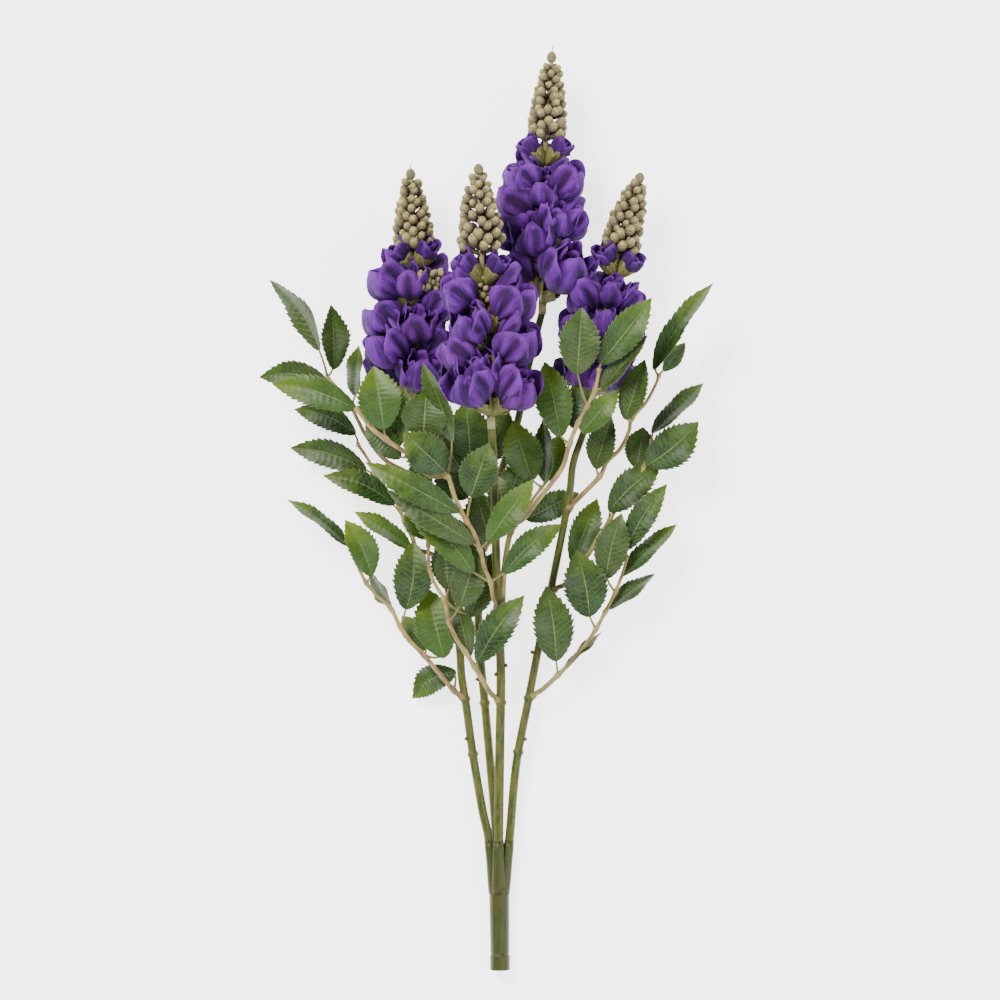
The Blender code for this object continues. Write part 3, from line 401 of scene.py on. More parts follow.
# Each spike: where it begins, where its florets end, where its tip of round buds ends, how wide
# that tip's foot is and at which share of it the buds start, its florets and its opening buds.
# Those have their place along the spike, their azimuth in degrees from the side that faces up, and
# their length.
HEADS = {
    "left": dict(seed=11, foot=(-0.048, 0.0665, 0.0319), top=(-0.0484, 0.176, 0.0319),
        tip=(-0.0512, 0.229, 0.031), tip_width=0.0275, tip_from=0.03, florets=[
        (0.004, 12, 0.038), (0.009, -104, 0.042), (0.012, 122, 0.036), (0.023, -62, 0.044),
        (0.03, 84, 0.036), (0.037, 6, 0.036), (0.043, -92, 0.04), (0.044, 178, 0.035),
        (0.056, 92, 0.034), (0.067, -12, 0.033), (0.068, -82, 0.041), (0.068, 112, 0.036),
    ], opening=[(0.092, -60, 0.021), (0.093, 54, 0.022), (0.09, 178, 0.02)]),
    "tall": dict(seed=12, foot=(0.038, 0.1325, 0.0316), top=(0.0402, 0.244, 0.0316),
        tip=(0.0446, 0.308, 0.031), tip_width=0.028, tip_from=0.14, florets=[
        (0.006, 46, 0.047), (0.011, -92, 0.038), (0.013, 160, 0.036), (0.029, -26, 0.041),
        (0.036, -100, 0.043), (0.045, 36, 0.035), (0.044, 98, 0.036), (0.051, 140, 0.038),
        (0.056, -84, 0.043), (0.064, -8, 0.03), (0.07, 66, 0.036), (0.073, -72, 0.036),
        (0.074, 140, 0.03),
    ], opening=[(0.0975, -70, 0.022), (0.0975, 72, 0.022), (0.095, 180, 0.02)]),
    "centre": dict(seed=13, foot=(0.0036, 0.0545, 0.078), top=(-0.003, 0.174, 0.083),
        tip=(-0.005, 0.229, 0.085), tip_width=0.031, tip_from=0, florets=[
        (0.0075, -42, 0.042), (0.0075, 68, 0.043), (0.009, 172, 0.037), (0.019, -22, 0.036),
        (0.033, -88, 0.039), (0.035, 72, 0.046), (0.036, 130, 0.04), (0.042, -146, 0.036),
        (0.05, -40, 0.038), (0.062, 80, 0.046), (0.072, -74, 0.039), (0.071, 168, 0.034),
    ], opening=[(0.0925, -62, 0.024), (0.0935, 62, 0.021), (0.094, 178, 0.02)]),
    "right": dict(seed=14, foot=(0.07, 0.067, 0.0328), top=(0.089, 0.1725, 0.0328),
        tip=(0.1048, 0.2262, 0.031), tip_width=0.0275, tip_from=0.06, florets=[
        (0.005, -28, 0.037), (0.008, 168, 0.035), (0.01, -108, 0.036), (0.012, 60, 0.037),
        (0.034, 165, 0.034), (0.036, -86, 0.038), (0.038, 86, 0.035), (0.04, -6, 0.034),
        (0.056, -72, 0.038), (0.062, 0, 0.031), (0.058, 76, 0.034), (0.064, -158, 0.031),
    ], opening=[(0.089, -42, 0.022), (0.0885, 66, 0.021), (0.088, 178, 0.02)]),
}
# A cluster of small unopened knobs: how far up the spike it sits, its length, how far the knobs
# stand out, how many there are, and the middle and half width in radians of their side. Each is
# turned from the one before by the golden share of that side.
KNOB_CLUSTERS = {
    "centre": (0.083, 0.020, 0.0042, 22, 0.0, 3.14), "left": (0.080, 0.013, 0.019, 44, 0.72, 0.5),
}
CLUSTER_RADII, CLUSTER_STALK_RADIUS, CLUSTER_STALK_DROP = (0.0016, 0.0025), 0.0006, 0.004
GOLDEN_TURN = 0.618


def marked(part, **marks):
    """A part with marks: numbers for its points, one for all of them or one for each."""
    count = len(part["points"])
    part["marks"] = {name: np.broadcast_to(values, count) for name, values in marks.items()}
    return part


def along_bar(values, sides):
    """Numbers of a bar's stations as those of its points, with the two that close its ends."""
    return np.append(np.repeat(values, sides), values[[0, -1]])


def beads(centres, ways, radii, sides, stations, stretch, over):
    """Round beads as bars: along its way a bead's stations lie at -cos b times its radius and have
    the radius times sin b, with b from one pole to the other; stretch makes it longer.
    """
    polar = np.linspace(0.02, np.pi - 0.02, stations)
    reach = -np.cos(polar)[None, :, None] * (radii * stretch)[:, None, None]
    lines = centres[:, None] + reach * unit(ways)[:, None]
    return bars(lines, radii[:, None] * np.sin(polar), sides, over)


def across_line(along):
    """Two directions at right angles to a third: upwards, and to the right."""
    right = unit(np.cross(along, (0.0, 0.0, 1.0)))
    return np.cross(right, along), right


def around(along, azimuth):
    """Directions away from a line at azimuths in radians, counted from the side that faces up."""
    above, right = across_line(along)
    return np.cos(azimuth)[:, None] * above + np.sin(azimuth)[:, None] * right


spike_plastic = moulded("spike_plastic", SPIKE_OLIVES, 0.62, 6.0, 80.0, 260.0)
for head_name, head in HEADS.items():
    draw = np.random.default_rng(head["seed"])
    foot, top, tip = (np.array(head[end]) for end in ("foot", "top", "tip"))
    along = unit(top - foot)
    points = [foot - SPIKE_SUNK * along, foot + 0.5 * (top - foot), top, tip]
    path = smooth_path(points, SPIKE_STEPS)
    share = np.linspace(0.0, 1.0, len(path))
    radius = np.interp(share, [0.0, 0.66, 1.0], SPIKE_RADII) * (1.0 + 0.06 * np.sin(40.0 * share))
    pale = np.clip(np.maximum((share - SPIKE_PALE_FROM) / 0.08, (0.06 - share) / 0.03), 0.0, 1.0)
    wire = bars(path[None], radius[None], SPIKE_SIDES)
    place, azimuth, _ = np.array(head["florets"] + head["opening"], float).T
    ways = around(along, np.radians(azimuth))
    centres = foot + place[:, None] * along + KNOB_OUT * ways
    sizes = np.full(len(place), KNOB_RADIUS)
    parts = [marked(wire, pale=along_bar(pale, SPIKE_SIDES)),
             beads(centres, ways, sizes, 9, 6, KNOB_STRETCH, along)]
    if head_name in KNOB_CLUSTERS:
        low, span, out, count, middle, wide = KNOB_CLUSTERS[head_name]
        step = (np.arange(count) + 0.5) / count
        side = 2.0 * (GOLDEN_TURN * np.arange(count) % 1.0) - 1.0
        ways = around(along, middle + wide * side + draw.normal(0.0, 0.05, count))
        reach = (out * (0.75 + 0.3 * draw.random(count)))[:, None] * ways
        centres = foot + (low + span * step)[:, None] * along + reach
        sizes = draw.uniform(*CLUSTER_RADII, count)
        parts.append(marked(beads(centres, ways + 0.8 * along, sizes, 8, 6, 1.2, along), pale=1.0))
        stalks = np.linspace(centres - reach - CLUSTER_STALK_DROP * along, centres, 3, axis=1)
        parts.append(bars(stalks, np.full((count, 3), CLUSTER_STALK_RADIUS), 6, along))
    put(f"spike_{head_name}", parts, spike_plastic, slot="calyx_olive")


# The calyces
# A cup of five pointed sepals under each floret and each opening bud, pressed from soft olive
# plastic sheet and slipped over the bud's root.

SEPAL_ROWS, SEPAL_COLUMNS = 7, 7
SEPAL_THICKNESS, SEPAL_SWING = 0.0007, 3.0
CALYX_OLIVES = ((76, 76, 36), (124, 120, 72), (98, 90, 50))
# Each petal form has the azimuth round its floret and its spread to either side in degrees, with
# how much narrower the foot's spread is. As shares of the floret's length it has its start and its
# height, the radii of the cup at its foot and its belly, how far its crest turns outwards, and the
# depths of its middle crease, pleats and ruffles. The belly lies at a share of the petal, the flare
# is the power of the rise to it, and the corners drop by a share of the height and a power.
SEPALS = [
    dict(azimuth=a, spread=44, fan=0, start=0.02, height=0.37, foot=0.045, mouth=0.165, belly=0.95,
         flare=1.1, turn=0.01, drop=0.45, power=1.3, crease=0.01, pleat=0, ruffle=0.004)
    for a in (0, 72, 144, 216, 288)
]
BUD_SEPALS = [
    dict(form, start=0.1, height=0.56, mouth=0.225, belly=0.9, flare=1, drop=0.14)
    for form in SEPALS
]
# The tube below the sepals: its share of the floret's length, its radius under florets and under
# opening buds, and how it swells from its foot on.
TUBE_SHARE, TUBE_RADIUS, BUD_TUBE_RADIUS = 0.16, 0.0019, 0.0015
TUBE_SWELL, TUBE_SIDES = (1.0, 0.9, 1.2, 0.8), 9
# A floret leans from the spike by this angle at the foot of the head, less for each metre above.
# Those on the side that faces up are pushed down by others and lean less, by this share.
FLORET_LEAN, LEAN_LOSS, FRONT_LEAN_LOSS = 48.0, 90.0, 0.42
OPENING_LEAN, OPENING_GROWTH = 39.0, 1.28
# How high petals stay above the table, and how gently they ease to it.
PETAL_REST, PETAL_EASE = 0.0003, 0.0012


def grown_on(head, kind):
    """Roots, axes, hood directions and lengths of a head's florets or opening buds."""
    foot = np.array(head["foot"])
    along = unit(head["top"] - foot)
    place, azimuth, length = np.array(head[kind]).T
    azimuth = np.radians(azimuth)
    facing = np.clip(np.cos(azimuth), 0.0, 1.0) ** 4
    lean = (FLORET_LEAN - LEAN_LOSS * place) * (1.0 - FRONT_LEAN_LOSS * facing)
    if kind == "opening":
        lean = np.full(len(place), OPENING_LEAN)
        length = length * OPENING_GROWTH
    lean = np.radians(lean)[:, None]
    axis = np.cos(lean) * along + np.sin(lean) * around(along, azimuth)
    hood = unit(along - (axis @ along)[:, None] * axis)
    return foot + place[:, None] * along, axis, hood, length


def petals(grown, forms, rows, columns, draw, swing=7.0):
    """Petals round their florets, an array of (petals, rows, columns, 3).

    With t from a petal's foot to its crest and u from edge to edge, a point lies at the angle
    azimuth + u * spread round the floret's axis, where the spread grows with t as in a fan. Its
    height is t less the drop of the corners, which grows with u to a power. Its distance from the
    axis rises as a power of a quarter sine to the belly, then turns in or out by a square, plus the
    relief: a crease down the middle, lengthwise pleats as a cosine of u, and ruffles at the crest.
    A height z above the table eases to half of z plus the root of z squared plus a small square.
    The second array tells how deep in a fold each point lies, from 0 to 1.
    """
    root, axis, hood, length = grown
    count = len(root)
    shape = (count, len(forms), 1, 1)

    def form(key):
        return np.array([f[key] for f in forms], float)[None, :, None, None]

    t = np.linspace(0.0, 1.0, rows)[None, None, :, None]
    u = np.linspace(-1.0, 1.0, columns)[None, None, None, :]
    phase = draw.uniform(0.0, 2.0 * np.pi, (4, *shape))
    fan = 1.0 - form("fan") * (1.0 - t)
    twist = draw.normal(0.0, swing, (count, 1, 1, 1)) + draw.normal(0.0, 0.7 * swing, shape)
    angle = np.radians(form("azimuth") + twist + u * form("spread") * fan)
    tall = form("height") * draw.normal(1.0, 0.05, shape)
    low, belly, ruffle = form("start"), form("belly"), form("ruffle")
    corner = np.abs(u) ** (form("power") * draw.uniform(0.8, 1.2, shape))
    height = low + (1.0 - low) * t * (1.0 - form("drop") * corner * t)
    height = height + draw.normal(0.0, 0.045, shape) * u * t**2
    rise = np.sin(0.5 * np.pi * np.clip(t / belly, 0.0, 1.0)) ** form("flare")
    past = np.clip((t - belly) / (1.0 - belly), 0.0, 1.0)
    out = form("foot") + (form("mouth") * draw.normal(1.0, 0.06, shape) - form("foot")) * rise
    out = out + form("turn") * past**2
    pleats = np.cos(3.0 * np.pi * u + 0.3 * phase[3]) * np.sin(np.pi * t**0.8)
    relief = form("pleat") * pleats - form("crease") * np.exp(-((u / 0.2) ** 2)) * np.sin(np.pi * t)
    relief = relief + ruffle * t**2 * np.sin(3.0 * u + phase[0]) * np.cos(1.3 * u + phase[1])
    relief = relief + 0.5 * ruffle * t * np.sin(7.0 * u + 4.0 * t + phase[2])
    out = out + relief
    size = length[:, None, None, None]
    points = root[:, None, None, None]
    for reach, way in ((tall * height, axis), (out * np.cos(angle), hood),
                       (out * np.sin(angle), np.cross(axis, hood))):
        points = points + (size * reach)[..., None] * way[:, None, None, None]
    z = points[..., 2]
    points[..., 2] = PETAL_REST + 0.5 * (z + np.sqrt(z**2 + PETAL_EASE**2))
    fold = np.clip(0.5 - relief / 0.07, 0.0, 1.0)
    return points.reshape(-1, rows, columns, 3), fold.reshape(-1, rows, columns)


def sheets(grid, thickness, **marks):
    """Thin closed bodies round surfaces, an array of (sheets, rows, columns, 3).

    Both faces lie half the thickness from the surface along its normal, which is the step across
    crossed with the step along, and a rim joins their edges. The map runs across and along each
    sheet. A mark is one number a sheet or one a point; the mark under is 1 on the lower face.
    """
    count, rows, columns = grid.shape[:3]
    normal = unit(np.cross(np.gradient(grid, axis=2), np.gradient(grid, axis=1)))
    faces = [(grid + half * thickness * normal).reshape(count, -1, 3) for half in (0.5, -0.5)]
    row, k = np.meshgrid(np.arange(rows - 1), np.arange(columns - 1), indexing="ij")
    corner_row = np.stack([row, row, row + 1, row + 1], -1).reshape(-1, 4)
    corner_column = np.stack([k, k + 1, k + 1, k], -1).reshape(-1, 4)
    upper = corner_row * columns + corner_column
    each = rows * columns
    number = np.arange(each).reshape(rows, columns)
    border = np.concatenate([number[0, :-1], number[:-1, -1], number[-1, :0:-1], number[:0:-1, 0]])
    ahead = np.roll(border, -1)
    rim = np.stack([border, border + each, ahead + each, ahead], -1)
    quads = np.concatenate([upper, upper[:, ::-1] + each, rim])
    flat = np.stack([number % columns / (columns - 1), number // columns / (rows - 1)], -1)
    corners = flat.reshape(-1, 2)[quads % each]
    step = (np.arange(count) * 2 * each)[:, None, None]
    for mark, values in marks.items():
        values = np.broadcast_to(np.reshape(values, (count, -1)), (count, each))
        marks[mark] = np.concatenate([values, values], axis=1).ravel()
    marks["under"] = np.tile(np.repeat([0.0, 1.0], each), count)
    return {
        "points": np.concatenate(faces, axis=1).reshape(-1, 3),
        "faces": [(quads + step).reshape(-1, 4)],
        "map": [np.broadcast_to(corners, (count, *corners.shape)).reshape(-1, 2)],
        "marks": marks,
    }


calyx_plastic = moulded("calyx_plastic", CALYX_OLIVES, 0.6, 5.0, 2.0, 160.0)
for head_name, head in HEADS.items():
    draw = np.random.default_rng(head["seed"] + 20)
    parts = []
    for kind, forms, radius in (("florets", SEPALS, TUBE_RADIUS),
                                ("opening", BUD_SEPALS, BUD_TUBE_RADIUS)):
        root, axis, _, length = grown = grown_on(head, kind)
        cups, _ = petals(grown, forms, SEPAL_ROWS, SEPAL_COLUMNS, draw, SEPAL_SWING)
        ends = root + TUBE_SHARE * length[:, None] * axis
        tubes = np.linspace(root, ends, len(TUBE_SWELL), axis=1)
        radii = np.tile(radius * np.array(TUBE_SWELL), (len(root), 1))
        parts += [sheets(cups, SEPAL_THICKNESS), bars(tubes, radii, TUBE_SIDES, (0.0, 1.0, 0.0))]
    put(f"calyces_{head_name}", parts, calyx_plastic, slot="calyx_olive")


# The florets
# Each open floret is cut from violet polyester cloth, stiffened and pressed hot into cupped
# petals: a hood, a rolled lip and two side petals, with a smaller ring of petals inside.

PETAL_ROWS, PETAL_COLUMNS = 13, 15
INNER_ROWS, INNER_COLUMNS = 8, 11
PETAL_THICKNESS = 0.0005
OUTER_PETALS = [
    dict(azimuth=a, spread=48, fan=0.3, start=0.22, height=h, foot=0.08, mouth=0.36, belly=0.72,
         flare=1.2, turn=-0.08, drop=0.32, power=1.9, crease=0.034, pleat=0.026, ruffle=0.042)
    for a, h in ((26, 1.06), (-24, 1.02))
] + [
    dict(azimuth=a, spread=44, fan=0.3, start=0.22, height=0.94, foot=0.08, mouth=0.42, belly=0.68,
         flare=1.3, turn=-0.02, drop=0.36, power=1.9, crease=0.055, pleat=0.022, ruffle=0.048)
    for a in (94, -94)
] + [
    dict(azimuth=180, spread=76, fan=0.3, start=0.22, height=0.95, foot=0.08, mouth=0.39,
         belly=0.54, flare=1.3, turn=-0.26, drop=0.26, power=2.2, crease=0.025, pleat=0.026,
         ruffle=0.038)
]
INNER_PETALS = [
    dict(azimuth=a, spread=46, fan=0.3, start=0.22, height=h, foot=0.06, mouth=r, belly=0.75,
         flare=1.2, turn=-0.02, drop=0.22, power=2.4, crease=0.02, pleat=0.02, ruffle=0.035)
    for a, h, r in ((40, 0.96, 0.2), (-42, 0.94, 0.2), (128, 0.86, 0.17), (-132, 0.88, 0.17))
]
# The deepest violet is painted shade, in the petals' folds and throats.
PETAL_SHADE, PETAL_DARK, PETAL_MID = (20, 2, 34), (46, 5, 80), (76, 19, 112)
PETAL_LIGHT, PETAL_WARM, PETAL_SHEEN = (118, 50, 160), (84, 28, 104), (190, 160, 235)


def petal_cloth():
    """Violet cloth: dark streaks, painted shade in the folds and painted highlight on the ridges,
    a lighter rim, painted shade deep in the throat, and a crinkled weave.
    """
    coat = Coat("petal_cloth", PETAL_DARK)
    tint, fold, under = coat.mark("tint"), coat.mark("fold"), coat.mark("under")
    flat, own = coat.flat(), coat.scaled(tint, 53.0)
    broad, fine = coat.stretched(flat, 4.0, 1.6, own), coat.stretched(flat, 24.0, 2.4, own)
    vein = coat.between(coat.noise(1.0, at=fine), 0.42, 0.62)
    coat.paint(coat.between(coat.noise(1.0, at=broad), 0.40, 0.62), PETAL_MID)
    coat.paint(vein, PETAL_LIGHT, 0.30)
    coat.paint(coat.between(tint, 0.5, 1.0), PETAL_WARM, 0.55)
    # Painted highlight on the ridges of the relief, and painted shade deep in its folds.
    coat.paint(coat.less(coat.between(fold, 0.05, 0.50)), PETAL_LIGHT, 0.45)
    coat.paint(coat.between(fold, 0.50, 0.95), PETAL_SHADE, 0.75)
    rim = coat.scaled(coat.noise(0.4, 2.0, at=fine), 0.16, flat[1])
    coat.paint(coat.between(rim, 0.90, 1.06), PETAL_LIGHT, 0.50)
    # Painted shade in the throat: darker towards the petals' foot, more so on their lower face.
    foot = coat.scaled(coat.noise(1.5, 2.0, at=broad), -0.30, flat[1])
    throat = coat.less(coat.between(foot, -0.10, 0.42))
    coat.paint(coat.scaled(throat, coat.scaled(under, 0.25, 0.65)), PETAL_SHADE)
    weave, crinkle = coat.noise(3200.0, 2.0), coat.noise(430.0)
    height = coat.scaled(vein, 0.6, coat.scaled(weave, 0.25, crinkle))
    gloss = {"Specular IOR Level": 0.2, "Sheen Weight": 0.10, "Sheen Roughness": 0.5,
             "Sheen Tint": linear(PETAL_SHEEN)}
    return coat.finish(coat.scaled(weave, 0.2, 0.60), height, 0.8, 0.0006, gloss)


PETAL_CLOTH = petal_cloth()
for head_name, head in HEADS.items():
    draw = np.random.default_rng(head["seed"] + 40)
    grown = grown_on(head, "florets")
    parts = []
    for forms, rows, columns in ((OUTER_PETALS, PETAL_ROWS, PETAL_COLUMNS),
                                 (INNER_PETALS, INNER_ROWS, INNER_COLUMNS)):
        grid, fold = petals(grown, forms, rows, columns, draw)
        tint = np.repeat(draw.random(len(grown[0])), len(forms))
        tint = np.clip(tint + draw.normal(0.0, 0.08, tint.shape), 0.0, 1.0)
        parts.append(sheets(grid, PETAL_THICKNESS, tint=tint, fold=fold))
    put(f"florets_{head_name}", parts, PETAL_CLOTH, [f"head_{head_name}"], "petal_purple")


# The opening buds
# Three small buds at the top of each head, of the same cloth: short rounded petals that are still
# bundled together, four round three, in a calyx that is half as long as the bud.

BUD_ROWS, BUD_COLUMNS = 8, 9
BUD_PETALS = [
    dict(azimuth=a, spread=54, fan=0.1, start=0.38, height=h, foot=0.1, mouth=0.27, belly=0.75,
         flare=0.75, turn=-0.03, drop=0.26, power=2.6, crease=0.02, pleat=0.012, ruffle=0.05)
    for a, h in ((0, 0.92), (92, 0.88), (180, 0.84), (268, 0.9))
] + [
    dict(azimuth=a, spread=62, fan=0.1, start=0.38, height=h, foot=0.06, mouth=0.14, belly=0.6,
         flare=0.9, turn=-0.05, drop=0.26, power=2.4, crease=0.02, pleat=0.016, ruffle=0.05)
    for a, h in ((40, 0.86), (160, 0.8), (290, 0.84))
]

for head_name, head in HEADS.items():
    draw = np.random.default_rng(head["seed"] + 60)
    grid, fold = petals(grown_on(head, "opening"), BUD_PETALS, BUD_ROWS, BUD_COLUMNS, draw)
    tint = draw.uniform(0.0, 0.4, len(grid))
    # The fold mark is raised for the buds, so the cloth paints more shade into their folds.
    bundles = sheets(grid, PETAL_THICKNESS, tint=tint, fold=0.45 + 0.55 * fold)
    put(f"opening_buds_{head_name}", [bundles], PETAL_CLOTH, slot="petal_purple")


# The tips of round buds
# Above the opening buds each spike ends in whorls of closed buds, with each whorl's buds over the
# gaps of the one below: moulded egg-shaped balls with a soft matt coat, the largest below, each on
# its own short stalk, and a larger one at the very end.

WHORLS = np.array([6, 6, 6, 6, 6, 6, 6, 6, 6, 5, 5, 4])
TIP_STOP, TIP_TAPER, TIP_END_SPREAD = 0.83, 1.8, 0.0014
BALL_RADII, BALL_STRETCH = (0.0035, 0.0024), 1.28
BALL_SIDES, BALL_STATIONS = 8, 6
END_BALL_RADIUS, END_BALL_STRETCH = 0.0034, 1.15
BALL_STALK_RADII, BALL_STALK_DROP = (0.0011, 0.0012, 0.0018, 0.0026), 0.45
# A hair-fine thread of the mould stands out of two of the tips: its length, radii and curl.
THREADS = {"tall": 0.0050, "left": 0.0035}
THREAD_RADII, THREAD_SUNK, THREAD_CURL = (0.0005, 0.0004, 0.0003, 0.0003, 0.0002), 0.0008, 18.0
BALL_SHADE, BALL_MAUVE = (72, 62, 50), (112, 98, 80)
BALL_BODY, BALL_LIGHT = (128, 122, 72), (198, 188, 112)


def ball_coat():
    """The buds' matt coat: brown at the stalk, a mauve girdle, yellowish and speckled at the end,
    which has a small dimple with painted shade in it.
    """
    coat = Coat("ball_coat", BALL_SHADE)
    up, tint = coat.mark("up"), coat.mark("tint")
    cloud, speck, grain = coat.noise(420.0), coat.noise(900.0), coat.noise(2600.0, 2.0)
    clouded, speckled = coat.scaled(cloud, 0.40, up), coat.scaled(speck, 0.40, up)
    coat.paint(coat.between(clouded, 0.34, 0.76), BALL_MAUVE)
    coat.paint(coat.between(clouded, 0.62, 0.98), BALL_BODY)
    coat.paint(coat.between(speckled, 0.82, 1.14), BALL_LIGHT, 0.75)
    coat.paint(coat.less(coat.between(speck, 0.38, 0.54)), BALL_SHADE, 0.60)
    coat.paint(tint, BALL_MAUVE, 0.40)
    # Painted shade in the small dimple at each bud's end.
    dimple = coat.between(coat.scaled(tint, 0.05, up), 0.955, 0.985)
    coat.paint(dimple, BALL_SHADE, 0.6)
    height = coat.scaled(grain, 0.5, coat.scaled(dimple, -1.5, cloud))
    gloss = {"Specular IOR Level": 0.25}
    return coat.finish(coat.scaled(grain, 0.2, 0.62), height, 0.7, 0.0004, gloss)


BALL_COAT = ball_coat()
for head_name, head in HEADS.items():
    draw = np.random.default_rng(head["seed"] + 80)
    start, end = np.array(head["top"]), np.array(head["tip"])
    span = np.linalg.norm(end - start)
    along = (end - start) / span
    above, right = across_line(along)
    widest = 0.46 * head["tip_width"] - BALL_RADII[0]
    whorl = np.repeat(np.arange(len(WHORLS)), WHORLS)
    turn = np.concatenate([np.arange(n) / n for n in WHORLS]) + 0.5 * (whorl % 2) / WHORLS[whorl]
    count = len(whorl)
    way = around(along, 2.0 * np.pi * turn + draw.normal(0.0, 0.15, count))
    share = head["tip_from"] + (TIP_STOP - head["tip_from"]) * whorl / (len(WHORLS) - 1.0)
    share = share + draw.normal(0.0, 0.012, count)
    spread = widest * (1.0 - np.abs(share) ** TIP_TAPER) + TIP_END_SPREAD
    spread = (spread + draw.normal(0.0, 0.0006, count))[:, None]
    size = BALL_RADII[0] + share * (BALL_RADII[1] - BALL_RADII[0])
    size *= draw.normal(1.0, 0.09, count)
    foot = start + (share * span)[:, None] * along
    centre = foot + spread * way
    balls = beads(centre, way + 0.8 * along, size, BALL_SIDES, BALL_STATIONS, BALL_STRETCH, along)
    up = np.tile(along_bar(np.linspace(0.0, 1.0, BALL_STATIONS), BALL_SIDES), count)
    last = beads((end - END_BALL_STRETCH * END_BALL_RADIUS * along)[None], along[None],
                 np.array([END_BALL_RADIUS]), 12, 9, END_BALL_STRETCH, above)
    stalks = np.linspace(foot - BALL_STALK_DROP * spread * along, centre, 4, axis=1)
    stalks = bars(stalks, np.tile(BALL_STALK_RADII, (count, 1)), 6, along)
    parts = [marked(balls, up=up, tint=np.repeat(draw.random(count), balls["each"])),
             marked(last, up=0.6), marked(stalks, up=0.30)]
    if head_name in THREADS:
        reach = np.linspace(0.0, THREADS[head_name], len(THREAD_RADII))[:, None]
        thread = end + (reach - THREAD_SUNK) * along + THREAD_CURL * reach**2 * right
        parts.append(bars(thread[None], np.array([THREAD_RADII]), 6, above))
    put(f"round_buds_{head_name}", parts, BALL_COAT, [f"buds_{head_name}"], "bud_olive")


# The twigs
# Tan plastic moulded over thin wire, with a collar that is plugged on a ring of the stem and a knot
# wherever a leaf's stalk springs. The stalks are moulded with the twig, thinner and greener.

